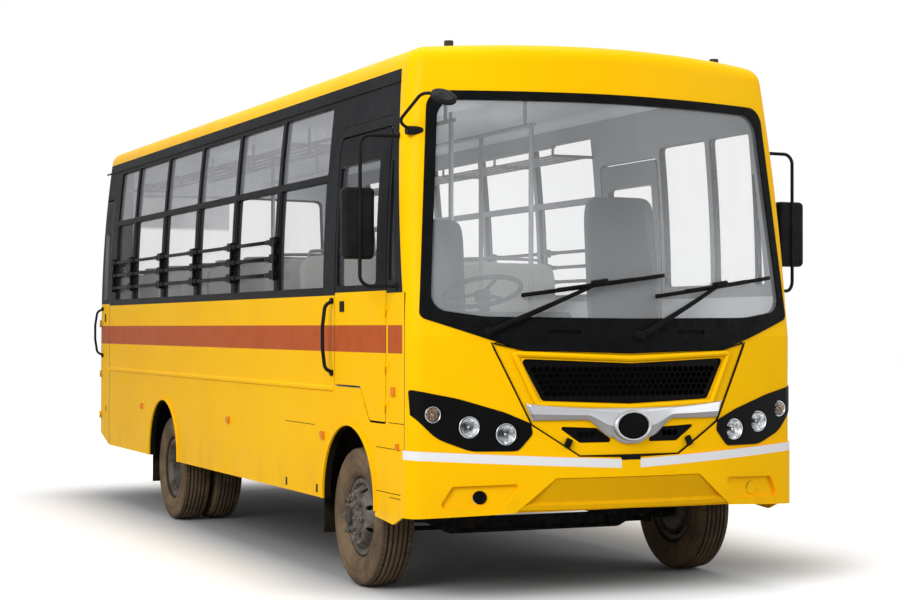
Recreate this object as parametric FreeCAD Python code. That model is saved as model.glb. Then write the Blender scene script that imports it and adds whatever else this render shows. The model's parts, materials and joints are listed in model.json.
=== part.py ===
"""A forward-control school bus, right-hand drive, as separate pieces.

Millimetres. +Z is up and the bus faces -Y. The origin lies on the ground below the middle of
the whole outline. The driver and the driver's door are at -X, the passenger door is at +X.
Places along the bus are given by aft(d), the distance d behind the front axle.
"""
import FreeCAD, Part
import math
import os
from FreeCAD import Vector

# Overall
WHEELBASE = 4116.0
FRONT_OVERHANG = 1200.0
REAR_OVERHANG = 2275.0
NOSE_PROUD = 26.0
TAIL_PROUD = 60.0
BODY_WIDTH = 2407.0
ROOF_Z = 3065.0
SKIRT_Z = 480.0
BELT_Z = 1686.0
CANT_Z = 2920.0
WALL = 45.0

LENGTH = NOSE_PROUD + FRONT_OVERHANG + WHEELBASE + REAR_OVERHANG + TAIL_PROUD
HALF = BODY_WIDTH / 2
NOSE_Y = -LENGTH / 2 + NOSE_PROUD
FRONT_AXLE_Y = NOSE_Y + FRONT_OVERHANG
REAR_AXLE_Y = FRONT_AXLE_Y + WHEELBASE
TAIL_Y = REAR_AXLE_Y + REAR_OVERHANG


def aft(distance):
    """The Y of a point this far behind the front axle."""
    return FRONT_AXLE_Y + distance


# Body curves
NOSE_RADIUS = 3100.0
TAIL_RADIUS = 7000.0
SIDE_RADIUS = 9950.0
ROOF_WIDTH = 2240.0
CROWN = 35.0
EDGE_ROUND = 110.0
FOOT_Z = 1450.0
SCREEN_RAKE = math.radians(7.8)
TAIL_RAKE = math.radians(3.0)

# Seams of the panels
CAP_SEAM = -853.0
CAP_SEAM_TOP = -650.0
REAR_SEAM = WHEELBASE + REAR_OVERHANG - 105.0
ROOF_END = WHEELBASE + REAR_OVERHANG - 290.0
PANEL_GAP = 0.5

# Wheels
TYRE_RADIUS = 403.0
TYRE_WIDTH = 215.0
RIM_RADIUS = 203.0
FRONT_TRACK_HALF = 1035.5
REAR_OUTER_X = 1022.0
DUAL_SPACING = 252.0
KINGPIN_X = 880.0
KINGPIN_RADIUS = 20.0
SPINDLE_RADIUS = 30.0
REAR_SPINDLE_RADIUS = 45.0
RUNNING = 0.3
STEER_ARM = 170.0
TIE_ROD_Z = 300.0

# Wheel arches
ARCH_RADIUS = 418.0
ARCH_CENTRE_Z = 515.0
FRONT_ARCH = -30.0
REAR_ARCH = WHEELBASE - 35.0
ARCH_LIP = 9.0
ARCH_LIP_WIDTH = 26.0

# Chassis
RAIL_X = 420.0
RAIL_WIDTH = 70.0
RAIL_BOTTOM_Z = 620.0
RAIL_TOP_Z = 820.0
RAIL_SHEET = 8.0
SPRING_WIDTH = 60.0
LEAF = 10.0
FLOOR_Z = 1060.0
FLOOR_SHEET = 35.0
BEARER_DEPTH = 100.0

# Windows
WINDOW_START = 393.0
WINDOW_PITCH = 945.0
WINDOW_BAYS = 6
WINDOW_LAST = 5684.0
PILLAR = 52.0
UPPER_SILL_Z = 2410.0
UPPER_HEAD_Z = 2817.0
LOWER_SILL_Z = 1735.0
LOWER_HEAD_Z = 2368.0
GLASS = 5.0
GLASS_INSET = 18.0

# Doors
DOOR_GAP = 12.0
HINGE_OUT = 9.0
BARREL_RADIUS = 8.0
BARREL_LENGTH = 60.0
DOOR_FRONT = -606.0
DOOR_REAR = 200.0
DOOR_TOP_Z = 2600.0
ENTRY_FRONT = 470.0
ENTRY_REAR = 1230.0
EMERGENCY_FRONT = 5897.0
EMERGENCY_REAR = 6190.0
TAIL_RISE = 145.0

SIDES = (("right", -1), ("left", 1))


# Shape helpers
def box(x0, x1, y0, y1, z0, z1):
    """A box between two corners, given in any order."""
    low = Vector(min(x0, x1), min(y0, y1), min(z0, z1))
    return Part.makeBox(abs(x1 - x0), abs(y1 - y0), abs(z1 - z0), low)


def place(axis, a, b, along):
    """Turns a point (a, b) of a drawing plane into space; axis is the plane's normal."""
    return {"x": Vector(along, a, b), "y": Vector(a, along, b), "z": Vector(a, b, along)}[axis]


def rounded(axis, points, along):
    """A closed wire through (a, b) or (a, b, radius) points, with the corners rounded."""
    flat = [Vector(p[0], p[1], 0) for p in points]
    count = len(points)
    cuts = []
    for i, point in enumerate(points):
        radius = point[2] if len(point) > 2 else 0
        before = (flat[i - 1] - flat[i]).normalize()
        after = (flat[(i + 1) % count] - flat[i]).normalize()
        half = before.getAngle(after) / 2
        if radius <= 0 or half > math.pi / 2 - 1e-4:
            cuts.append((flat[i], None, flat[i]))
            continue
        reach = radius / math.tan(half)
        middle = (before + after).normalize()
        centre = flat[i] + middle * (radius / math.sin(half))
        cuts.append((flat[i] + before * reach, centre - middle * radius, flat[i] + after * reach))
    edges = []
    for i, (start, top, end) in enumerate(cuts):
        there = [place(axis, p.x, p.y, along) if p is not None else None for p in (start, top, end)]
        if top is not None:
            edges.append(Part.Arc(there[0], there[1], there[2]).toShape())
        following = cuts[(i + 1) % count][0]
        follow = place(axis, following.x, following.y, along)
        if (follow - there[2]).Length > 1e-4:
            edges.append(Part.makeLine(there[2], follow))
    return Part.Wire(Part.__sortEdges__(edges))


def grown(points, grow):
    """An outline with every edge moved outward by an amount, its corner radii with it."""
    count = len(points)
    flat = [Vector(p[0], p[1], 0) for p in points]
    area = sum(flat[i - 1].x * flat[i].y - flat[i].x * flat[i - 1].y for i in range(count))
    turn = 1 if area > 0 else -1
    result = []
    for i, point in enumerate(points):
        before = (flat[i] - flat[i - 1]).normalize()
        after = (flat[(i + 1) % count] - flat[i]).normalize()
        out_before = Vector(before.y, -before.x, 0) * turn
        out_after = Vector(after.y, -after.x, 0) * turn
        bend = turn * (before.x * after.y - before.y * after.x)
        shift = (out_before + out_after) * (grow / (1 + out_before.dot(out_after)))
        radius = point[2] if len(point) > 2 else 0
        if radius > 0:
            radius = max(1.0, radius + (grow if bend > 0 else -grow))
        result.append((flat[i].x + shift.x, flat[i].y + shift.y, radius))
    return result


def prism(axis, points, low, high, grow=0.0):
    """A rounded outline extruded along an axis, the outline grown by an amount."""
    wire = rounded(axis, grown(points, grow) if grow else points, low)
    return Part.Face(wire).extrude(place(axis, 0, 0, high - low))


def mirrored(points):
    """The whole outline from its +X half, listed from the top middle to the bottom middle."""
    other = [(-p[0],) + tuple(p[1:]) for p in reversed(points) if abs(p[0]) > 1e-6]
    return list(points) + other


def rod(start, end, radius):
    """A round bar between two points."""
    start = Vector(*start)
    run = Vector(*end) - start
    return Part.makeCylinder(radius, run.Length, start, run)


def bent_rod(points, radius, bend):
    """A round bar along straight runs joined by tangent bends."""
    points = [Vector(*p) for p in points]
    edges = []
    start = points[0]
    for before, here, after in zip(points, points[1:], points[2:]):
        back = (before - here).normalize()
        onward = (after - here).normalize()
        half = back.getAngle(onward) / 2
        reach = bend / math.tan(half)
        middle = (back + onward).normalize()
        centre = here + middle * (bend / math.sin(half))
        first = here + back * reach
        last = here + onward * reach
        edges.append(Part.makeLine(start, first))
        edges.append(Part.Arc(first, centre - middle * bend, last).toShape())
        start = last
    edges.append(Part.makeLine(start, points[-1]))
    path = Part.Wire(edges)
    ring = Part.Wire(Part.makeCircle(radius, points[0], points[1] - points[0]))
    return path.makePipeShell([ring], True, False)


def turned(profile, x, y, z, side=1):
    """A solid of revolution about a line along X; profile is (out along X, radius)."""
    points = [Vector(side * a, 0, r) for a, r in profile]
    face = Part.Face(Part.makePolygon(points + points[:1]))
    solid = face.revolve(Vector(0, 0, 0), Vector(1, 0, 0), 360)
    solid.translate(Vector(x, y, z))
    return solid


def fuse(shapes):
    """One clean solid out of several that touch or overlap."""
    shapes = list(shapes)
    first = shapes[0]
    return first.fuse(shapes[1:]).removeSplitter() if len(shapes) > 1 else first


def group(shapes):
    """Separate solids kept in one piece."""
    solids = []
    for shape in shapes:
        solids.extend(shape.Solids)
    return Part.makeCompound(solids)


# The body's shape
def across(inset):
    """The body's section extruded along it: upright to the belt, leaning in, then a crowned roof."""
    side_radius = SIDE_RADIUS - inset
    side_centre = Vector(HALF - SIDE_RADIUS, 0, BELT_Z)
    crown_radius = (ROOF_WIDTH ** 2 / 4 + CROWN ** 2) / (2 * CROWN)
    crown_centre = Vector(0, 0, ROOF_Z - crown_radius)

    def side_point(angle):
        return side_centre + Vector(side_radius * math.cos(angle), 0, side_radius * math.sin(angle))

    low, high = 0.0, 0.3
    for step in range(60):
        angle = (low + high) / 2
        if (side_point(angle) - crown_centre).Length < crown_radius - inset:
            low = angle
        else:
            high = angle
    foot, belt, middle, eave = Vector(HALF - inset, 0, -100), side_point(0), side_point(angle / 2), side_point(angle)

    def other(point):
        return Vector(-point.x, 0, point.z)

    edges = [Part.makeLine(foot, belt), Part.Arc(belt, middle, eave).toShape(),
             Part.Arc(eave, Vector(0, 0, ROOF_Z - inset), other(eave)).toShape(),
             Part.Arc(other(eave), other(middle), other(belt)).toShape(),
             Part.makeLine(other(belt), other(foot)), Part.makeLine(other(foot), foot)]
    face = Part.Face(Part.Wire(edges))
    face.translate(Vector(0, -LENGTH, 0))
    return face.extrude(Vector(0, 2 * LENGTH, 0))


def bowed_end(tip, radius, lean, inset, low, high, inward):
    """Everything inside a bowed end wall: an arc in plan, carried up along the wall's lean."""
    bow = radius - inset
    wide = HALF + 200
    y = tip + inward * inset
    corner = y + inward * (bow - math.sqrt(bow ** 2 - wide ** 2))
    far = y + inward * LENGTH
    left, right = Vector(-wide, corner, low), Vector(wide, corner, low)
    edges = [Part.Arc(left, Vector(0, y, low), right).toShape(), Part.makeLine(right, Vector(wide, far, low)),
             Part.makeLine(Vector(wide, far, low), Vector(-wide, far, low)), Part.makeLine(Vector(-wide, far, low), left)]
    return Part.Face(Part.Wire(edges)).extrude(Vector(0, inward * math.tan(lean) * (high - low), high - low))


def hull(inset):
    """The body's outside moved in by an inset: rounded above, drawn straight down below the screen."""
    high = ROOF_Z + 200
    upper = across(inset).common(bowed_end(NOSE_Y, NOSE_RADIUS, SCREEN_RAKE, inset, FOOT_Z, high, 1))
    upper = upper.common(bowed_end(TAIL_Y, TAIL_RADIUS, TAIL_RAKE, inset, FOOT_Z, high, -1))
    outer = [e for e in upper.Edges if e.CenterOfMass.z > FOOT_Z + 5 and abs(e.CenterOfMass.z - BELT_Z) > 5]
    upper = upper.makeFillet(max(8.0, EDGE_ROUND - inset), outer)
    foot = [face for face in upper.Faces if face.BoundBox.ZMax < FOOT_Z + 0.01][0]
    return upper.fuse(foot.extrude(Vector(0, 0, -FOOT_Z - 50))).removeSplitter()


HULLS = {}
LAYERS = {}


def inside(inset):
    """The body's shape at an inset, worked out once."""
    if inset not in HULLS:
        HULLS[inset] = hull(inset)
    return HULLS[inset]


def layer(outer, inner):
    """The skin between two insets of the body's shape."""
    if (outer, inner) not in LAYERS:
        LAYERS[outer, inner] = inside(outer).cut(inside(inner))
    return LAYERS[outer, inner]


def nose_at(x):
    """The nose's Y at a distance x from the middle, below the screen."""
    return NOSE_Y + NOSE_RADIUS - math.sqrt(NOSE_RADIUS ** 2 - x ** 2)


def side_x(z):
    """The body side's distance from the middle at a height."""
    return HALF - max(0.0, z - BELT_Z) ** 2 / (2 * SIDE_RADIUS)


def through_nose(points, grow=0.0):
    """A front-view outline extruded right through the nose."""
    return prism("y", points, NOSE_Y - 300, NOSE_Y + 620, grow)


def through_side(points, side, grow=0.0):
    """A side-view outline extruded through one side wall."""
    low, high = sorted((side * (HALF - 420), side * (HALF + 200)))
    return prism("x", points, low, high, grow)


# Panel regions
def cap_region(offset=0.0):
    """Everything ahead of the front seam, which leans back with the screen."""
    low, high = aft(CAP_SEAM) + offset, aft(CAP_SEAM_TOP) + offset
    return prism("x", [(NOSE_Y - 400, 0), (low, 0), (low, BELT_Z), (high, CANT_Z), (high, ROOF_Z + 300),
                       (NOSE_Y - 400, ROOF_Z + 300)], -LENGTH, LENGTH)


def tail_region(offset=0.0):
    """Everything behind the rear seam, which leans with the tail and steps forward over the eaves."""
    seam = aft(REAR_SEAM) + offset
    eave = seam - math.tan(TAIL_RAKE) * (CANT_Z - FOOT_Z)
    front = aft(ROOF_END) + offset
    return prism("x", [(seam, 0), (seam, FOOT_Z), (eave, CANT_Z), (front, CANT_Z), (front, ROOF_Z + 300),
                       (TAIL_Y + 400, ROOF_Z + 300), (TAIL_Y + 400, 0)], -LENGTH, LENGTH)


# Door outlines, seen from the side
def driver_door_points():
    """The driver's door, stepped at its foot to clear the wheel arch."""
    return [(aft(DOOR_REAR), 1165, 12), (aft(-219), 1165, 40), (aft(-366), 979, 40),
            (aft(DOOR_FRONT), 979, 12), (aft(DOOR_FRONT), DOOR_TOP_Z, 40),
            (aft(DOOR_REAR), DOOR_TOP_Z, 60)]


def entry_door_points():
    """The passenger door behind the front wheel, down to the skirt."""
    return [(aft(ENTRY_REAR), SKIRT_Z, 12), (aft(ENTRY_FRONT), SKIRT_Z, 12),
            (aft(ENTRY_FRONT), DOOR_TOP_Z, 40), (aft(ENTRY_REAR), DOOR_TOP_Z, 40)]


def emergency_door_points():
    """The narrow emergency door at the rear right; its foot rises to the tail."""
    length = EMERGENCY_REAR - EMERGENCY_FRONT
    rise = TAIL_RISE * length / (WHEELBASE + REAR_OVERHANG - EMERGENCY_FRONT)
    return [(aft(EMERGENCY_REAR), SKIRT_Z + rise, 10), (aft(EMERGENCY_FRONT), SKIRT_Z, 10),
            (aft(EMERGENCY_FRONT), DOOR_TOP_Z, 40), (aft(EMERGENCY_REAR), DOOR_TOP_Z, 40)]


def rectangle(front, rear, low, high, radius=18.0):
    """A side-view opening between two distances aft and two heights."""
    return [(aft(front), low, radius), (aft(front), high, radius), (aft(rear), high, radius),
            (aft(rear), low, radius)]


DRIVER_WINDOW = rectangle(DOOR_FRONT + 150, DOOR_REAR - 30, 1737, 2440, 30)
ENTRY_WINDOW = rectangle(ENTRY_FRONT + 85, ENTRY_REAR - 85, 1420, 2440, 30)
EMERGENCY_WINDOW = rectangle(EMERGENCY_FRONT + 70, EMERGENCY_REAR - 90, 1740, 2320, 25)
QUARTER_WINDOW = [(aft(-645), 1757, 12), (aft(-645), 2414), (aft(-665), 2414), (aft(-745), 1757, 20)]
CO_DRIVER_WINDOWS = [rectangle(-640, -190, 1765, 2665, 30), rectangle(-140, 420, 1765, 2665, 30)]


def side_windows(side):
    """Every fixed and sliding pane of one side, between the pillars."""
    openings = []
    for bay in range(WINDOW_BAYS):
        front = WINDOW_START + WINDOW_PITCH * bay
        rear = min(front + WINDOW_PITCH - PILLAR, WINDOW_LAST)
        if side > 0 and bay == 0:
            continue
        openings.append(rectangle(front, rear, UPPER_SILL_Z, UPPER_HEAD_Z))
        openings.append(rectangle(front, rear, LOWER_SILL_Z, LOWER_HEAD_Z))
    if side > 0:
        openings.extend(CO_DRIVER_WINDOWS)
    return openings


def door_cuts(side):
    """The openings that the doors of one side need, with their running gap."""
    if side > 0:
        return [through_side(entry_door_points(), side, DOOR_GAP)]
    return [through_side(driver_door_points(), side, DOOR_GAP),
            through_side(emergency_door_points(), side, DOOR_GAP)]


def arch_cut(centre, side):
    """The room for a wheel through one body side."""
    low = side * (HALF - 420)
    disc = Part.makeCylinder(ARCH_RADIUS, 620, Vector(min(low, low + side * 620), aft(centre), ARCH_CENTRE_Z),
                             Vector(1, 0, 0))
    foot = box(low, low + side * 620, aft(centre) - ARCH_RADIUS, aft(centre) + ARCH_RADIUS, 0, ARCH_CENTRE_Z)
    return disc.fuse(foot)


def arch_lip(centre, side):
    """The flared lip round a wheel arch."""
    start = Vector(side * HALF, aft(centre), ARCH_CENTRE_Z)
    outward = Vector(side, 0, 0)
    ring = Part.makeCylinder(ARCH_RADIUS + ARCH_LIP_WIDTH, ARCH_LIP, start, outward)
    legs = box(side * HALF, side * (HALF + ARCH_LIP), aft(centre) - ARCH_RADIUS - ARCH_LIP_WIDTH,
               aft(centre) + ARCH_RADIUS + ARCH_LIP_WIDTH, SKIRT_Z, ARCH_CENTRE_Z)
    return ring.fuse(legs).cut(box(-LENGTH, LENGTH, -LENGTH, LENGTH, 0, SKIRT_Z))


def tail_slope_cut():
    """The skirt's rise towards the tail."""
    start = EMERGENCY_FRONT
    return prism("x", [(aft(start), 0), (aft(start), SKIRT_Z), (TAIL_Y, SKIRT_Z + TAIL_RISE),
                       (TAIL_Y + 50, SKIRT_Z + TAIL_RISE), (TAIL_Y + 50, 0)], -LENGTH, LENGTH)


def side_panel(side):
    """The yellow side below the windows, with its arches, mouldings and door openings."""
    low = box(0, side * LENGTH, aft(CAP_SEAM) + PANEL_GAP, TAIL_Y, SKIRT_Z, BELT_Z - PANEL_GAP)
    panel = layer(0, WALL).common(low).cut(tail_region(-PANEL_GAP))
    lips = [arch_lip(centre, side) for centre in (FRONT_ARCH, REAR_ARCH)]
    ridge_front = ENTRY_REAR + DOOR_GAP + 8 if side > 0 else DOOR_REAR + DOOR_GAP + 8
    ridge_rear = REAR_SEAM - 110 if side > 0 else EMERGENCY_FRONT - DOOR_GAP - 8
    ridge = prism("y", [(side * HALF, 1118), (side * HALF, 1154), (side * (HALF + 10), 1144),
                        (side * (HALF + 10), 1128)], aft(ridge_front), aft(ridge_rear))
    panel = panel.fuse(lips + [ridge])
    cuts = [arch_cut(FRONT_ARCH, side), arch_cut(REAR_ARCH, side), tail_slope_cut()] + door_cuts(side)
    return panel.cut(cuts).removeSplitter()


def window_frame(side):
    """The black band: pillars, transom, sill and head rails of one side."""
    low = box(0, side * LENGTH, -LENGTH, LENGTH, BELT_Z, CANT_Z - PANEL_GAP)
    band = layer(0, WALL).common(low).cut([cap_region(PANEL_GAP), tail_region(-PANEL_GAP)])
    cuts = [through_side(points, side) for points in side_windows(side)] + door_cuts(side)
    cuts.append(through_side(QUARTER_WINDOW, side))
    return band.cut(cuts).removeSplitter()


def side_glass():
    """Every fixed pane of both sides, set in from the frames' faces."""
    sheet = layer(GLASS_INSET, GLASS_INSET + GLASS)
    panes = []
    for name, side in SIDES:
        for points in side_windows(side) + [QUARTER_WINDOW]:
            panes.append(sheet.common(through_side(points, side, -PANEL_GAP)))
    return group(panes)


def guard_bars():
    """Three horizontal bars across the lower panes, on clips at the pillars."""
    pieces = []
    front = WINDOW_START + WINDOW_PITCH - PILLAR - 20
    rear = WINDOW_LAST + 60
    for name, side in SIDES:
        parts = []
        for z in (1835, 1940, 2048):
            x = side * (side_x(z) + 16)
            parts.append(rod((x, aft(front), z), (x, aft(rear), z), 9))
        for bay in range(1, WINDOW_BAYS + 1):
            y = aft(min(WINDOW_START + WINDOW_PITCH * bay - PILLAR / 2, WINDOW_LAST + 26))
            strap = box(side * (side_x(2080) - 10), side * (side_x(1800) + 22), y - 14, y + 14, 1800, 2080)
            parts.append(strap.cut(inside(0)))
        pieces.append(fuse(parts))
    return group(pieces)


# The front
SCREEN_GLASS = mirrored([(0, 2740, 20000), (1006, 2732, 110), (1098, 1596, 90), (820, 1556, 600), (0, 1548)])
SCREEN_SEAL = mirrored([(0, 2790, 20000), (1058, 2782, 100), (1154, 1552, 40), (801, 1432, 300), (610, 1378, 200),
                        (0, 1360)])
GRILLE_PANEL = mirrored([(0, 1357), (612, 1375, 200), (800, 1428, 20), (577, 978, 120), (306, 806, 60), (0, 797)])
GRILLE_OPENING = mirrored([(0, 1305), (636, 1331, 20), (518, 1104, 30), (0, 1084)])
WING_BAR = mirrored([(0, 1061), (300, 1065, 900), (609, 1091, 12), (575, 997, 12), (270, 1002, 120), (140, 925, 60),
                     (0, 880)])
LOWER_GRILLE = [(432, 966, 10), (203, 956, 40), (90, 876, 12), (303, 876, 40)]
LAMP_HOUSING = [(1198, 1166, 10), (960, 1117, 500), (720, 1044, 200), (582, 985, 30), (572, 928, 30),
                (650, 838, 50), (900, 838, 200), (1072, 905, 200), (1192, 1030, 10)]
EMBLEM_Z = 965.0
EMBLEM_WIDTH = 228.0
EMBLEM_HEIGHT = 168.0
LAMPS = ((711, 928, 66), (904, 966, 66), (1088, 1033, 50))
BUMPER_TOP_Z = 784.0
BUMPER_SLOPE = 0.0465
FOG_X = 848.0
FOG_Z = 592.0
FOG_RADIUS = 36.0
BUMPER_RECESS = mirrored([(0, 690), (445, 690, 25), (662, 512, 20), (662, 420), (0, 420)])
BUMPER_POCKET = [(995, 652, 20), (625, 664, 20), (731, 538, 20), (1065, 538, 20)]
BUMPER_FOOT = mirrored([(0, 517), (640, 508, 60), (1300, 474), (1300, 200), (0, 200)])
COWL_SLOT = [(302, 1460, 6), (302, 1482, 6), (486, 1482, 6), (486, 1460, 6)]
CELL_RADIUS = 19.0
CELL_PITCH = 37.0
CELL_MARGIN = 7.0


def bumper_region(offset=0.0):
    """Everything below the bumper's top edge, which rises from a rounded middle towards both sides."""
    reach = HALF + 60
    top = BUMPER_TOP_Z + offset
    outline = mirrored([(0, top, 6000), (reach, top + BUMPER_SLOPE * reach), (reach, -100)])
    return prism("y", outline, -LENGTH, LENGTH)


def front_cap():
    """The moulded front shell: brow, pillars, corners and the skin round the grille panel."""
    region = cap_region().cut(bumper_region(PANEL_GAP))
    cap = layer(0, WALL).common(region)
    cuts = [through_nose(SCREEN_SEAL), through_nose(GRILLE_PANEL, 4)]
    for side in (-1, 1):
        cuts.append(through_nose([(side * x, z, r) for x, z, r in LAMP_HOUSING], PANEL_GAP))
        cuts.append(through_side(QUARTER_WINDOW, side))
        cuts.extend(door_cuts(side))
    return cap.cut(cuts).removeSplitter()


def windscreen_surround():
    """The black rubber frame of the screen and the cowl below it."""
    ring = layer(-6, WALL - 5).common(through_nose(SCREEN_SEAL, -PANEL_GAP))
    cuts = [through_nose(SCREEN_GLASS)]
    for side in (-1, 1):
        cuts.append(layer(-20, 4).common(through_nose([(side * x, z, r) for x, z, r in COWL_SLOT])))
    return ring.cut(cuts).removeSplitter()


def windscreen():
    """The one-piece curved screen."""
    return layer(6, 13).common(through_nose(SCREEN_GLASS, -PANEL_GAP))


def grille_panel():
    """The panel that carries the grille, set in from the cap."""
    panel = layer(8, WALL).common(through_nose(GRILLE_PANEL))
    cuts = [through_nose(GRILLE_OPENING)]
    for side in (-1, 1):
        cuts.append(through_nose([(side * x, z, r) for x, z, r in LOWER_GRILLE]))
    return panel.cut(cuts).removeSplitter()


def room(outline, x, z):
    """How far a point lies inside a convex outline that runs clockwise."""
    nearest = LENGTH
    for i, here in enumerate(outline):
        after = outline[(i + 1) % len(outline)]
        run = Vector(after[0] - here[0], after[1] - here[1], 0).normalize()
        nearest = min(nearest, run.y * (x - here[0]) - run.x * (z - here[1]))
    return nearest


def honeycomb(outline, limit):
    """A bowed sheet with rows of six-sided holes, solid along its edge; limit is the outline for the holes."""
    wires = [rounded("y", grown(outline, -PANEL_GAP), NOSE_Y - 60)]
    xs = [p[0] for p in limit]
    zs = [p[1] for p in limit]
    rise = CELL_PITCH * math.sin(math.radians(60))
    middle_z = (min(zs) + max(zs)) / 2
    for row in range(-6, 7):
        z = middle_z + row * rise
        for column in range(-24, 25):
            x = (column + 0.5 * (row % 2)) * CELL_PITCH
            if not min(xs) < x < max(xs) or room(limit, x, z) < CELL_RADIUS + CELL_MARGIN:
                continue
            corners = [(x + CELL_RADIUS * math.sin(math.radians(60 * k)), z + CELL_RADIUS * math.cos(math.radians(60 * k)))
                       for k in range(6)]
            wires.append(rounded("y", corners, NOSE_Y - 60))
    sheet = Part.makeFace(wires, "Part::FaceMakerBullseye").extrude(Vector(0, 500, 0))
    centre = Vector(0, NOSE_Y + NOSE_RADIUS, 700)
    bowl = Part.makeCylinder(NOSE_RADIUS - GRILLE_INSET, 800, centre)
    bowl = bowl.cut(Part.makeCylinder(NOSE_RADIUS - GRILLE_INSET - GRILLE_SHEET, 800, centre))
    return sheet.common(bowl)


GRILLE_INSET = 22.0
GRILLE_SHEET = 12.0
GRILLE_LIMIT = [(-518, 1104), (-636, 1331), (0, 1305), (636, 1331), (518, 1104), (0, 1084)]


def grille():
    """The honeycomb main grille and the two small ones below the wing bar."""
    pieces = [honeycomb(GRILLE_OPENING, [(-520, 1100), (-628, 1312), (628, 1312), (520, 1100)])]
    for side in (-1, 1):
        small = [(side * x, z, r) for x, z, r in LOWER_GRILLE]
        limit = [(x, z) for x, z, r in (small[::-1] if side < 0 else small)]
        pieces.append(honeycomb(small, limit[::-1]))
    return group(pieces)


def wing_bar():
    """The bright winged strip with a plain oval boss at its middle."""
    bar = layer(-8, 7.8).common(through_nose(WING_BAR))
    oval = Part.Face(Part.Wire(Part.Ellipse(Vector(0, 0, 0), EMBLEM_WIDTH / 2, EMBLEM_HEIGHT / 2).toShape()))
    oval.rotate(Vector(0, 0, 0), Vector(1, 0, 0), 90)
    oval.translate(Vector(0, NOSE_Y - NOSE_PROUD, EMBLEM_Z))
    boss = oval.extrude(Vector(0, 34, 0))
    return fuse([bar, boss])


def lamp_axis_y(x):
    """Where a lamp's face lies on the bowed nose."""
    return nose_at(x)


def lamp_housings():
    """The black housings, one each side, with a round well for each lamp."""
    pieces = []
    for side in (-1, 1):
        housing = layer(-5, 30).common(through_nose([(side * x, z, r) for x, z, r in LAMP_HOUSING]))
        wells = [Part.makeCylinder(radius + PANEL_GAP, 400, Vector(side * x, nose_at(x) - 300, z), Vector(0, 1, 0))
                 for x, z, radius in LAMPS]
        pieces.append(housing.cut(wells).common(cap_region()))
    return group(pieces)


def front_lamps():
    """Three round lamps each side, and the fog lamp in the bumper's right recess."""
    pieces = []
    for side in (-1, 1):
        for x, z, radius in LAMPS:
            tube = Part.makeCylinder(radius, 400, Vector(side * x, nose_at(x) - 300, z), Vector(0, 1, 0))
            pieces.append(tube.common(layer(4, 30)))
    fog = Part.makeCylinder(FOG_RADIUS, 400, Vector(-FOG_X, nose_at(FOG_X) - 300, FOG_Z), Vector(0, 1, 0))
    pieces.append(fog.common(layer(6, 30)))
    return group(pieces)


def bumper():
    """The full-width bumper with a wide middle recess and a pocket at each side."""
    region = cap_region().common(bumper_region()).cut(box(-LENGTH, LENGTH, -LENGTH, LENGTH, -200, SKIRT_Z))
    solid = layer(-10, WALL).common(region)
    recess = layer(-20, 14).common(through_nose(BUMPER_RECESS))
    wells = [recess]
    wells.append(through_nose(BUMPER_FOOT))
    for side in (-1, 1):
        wells.append(layer(-20, 10).common(through_nose([(side * x, z, r) for x, z, r in BUMPER_POCKET])))
    wells.append(Part.makeCylinder(FOG_RADIUS + PANEL_GAP, 400, Vector(-FOG_X, nose_at(FOG_X) - 300, FOG_Z),
                                   Vector(0, 1, 0)))
    return solid.cut(wells).removeSplitter()


# Roof and tail
def roof():
    """The roof with its rounded eaves, open inside, with an escape-free plain top."""
    region = box(-LENGTH, LENGTH, -LENGTH, LENGTH, CANT_Z, ROOF_Z + 100)
    return layer(0, WALL).common(region).cut([cap_region(PANEL_GAP), tail_region(-PANEL_GAP)]).removeSplitter()


REAR_WINDOW = mirrored([(0, 2700, 9000), (880, 2680, 60), (930, 1790, 60), (0, 1780)])


def through_tail(points, grow=0.0):
    """A rear-view outline extruded through the tail."""
    return prism("y", points, TAIL_Y - 500, TAIL_Y + 200, grow)


def rear_panel():
    """The tail: rounded corners, a wide window and wells for the lamps."""
    region = tail_region().cut(box(-LENGTH, LENGTH, -LENGTH, LENGTH, 0, SKIRT_Z))
    tail = layer(0, WALL).common(region)
    cuts = [through_tail(REAR_WINDOW), tail_slope_cut()]
    for side in (-1, 1):
        cuts.append(through_tail([(side * x, z, 12) for x, z in TAIL_LAMP], PANEL_GAP))
    return tail.cut(cuts).removeSplitter()


TAIL_LAMP = ((930, 760), (1080, 760), (1080, 1120), (930, 1120))


def rear_glass():
    """The rear window."""
    return layer(GLASS_INSET, GLASS_INSET + GLASS).common(through_tail(REAR_WINDOW, -PANEL_GAP))


def tail_lamps():
    """The upright lamp cluster at each rear corner."""
    return group([layer(-8, 30).common(through_tail([(side * x, z, 12) for x, z in TAIL_LAMP])).common(tail_region())
                  for side in (-1, 1)])


def rear_bumper():
    """A steel channel across the tail on two chassis arms."""
    beam = box(-1080, 1080, TAIL_Y + 10, TAIL_Y + TAIL_PROUD, 560, 690)
    beam = beam.makeFillet(20, [e for e in beam.Edges if abs(e.tangentAt(0).x) > 0.9 and e.CenterOfMass.y > TAIL_Y + 40])
    parts = [beam]
    for side in (-1, 1):
        low, high = side * (RAIL_X - 30), side * (RAIL_X + 30)
        parts.append(box(low, high, TAIL_Y - WALL - 240, TAIL_Y + 20, 562, 582))
        parts.append(box(low, high, TAIL_Y - WALL - 240, TAIL_Y - WALL - 75, 580, RAIL_BOTTOM_Z - RUNNING))
    return fuse(parts)


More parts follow.
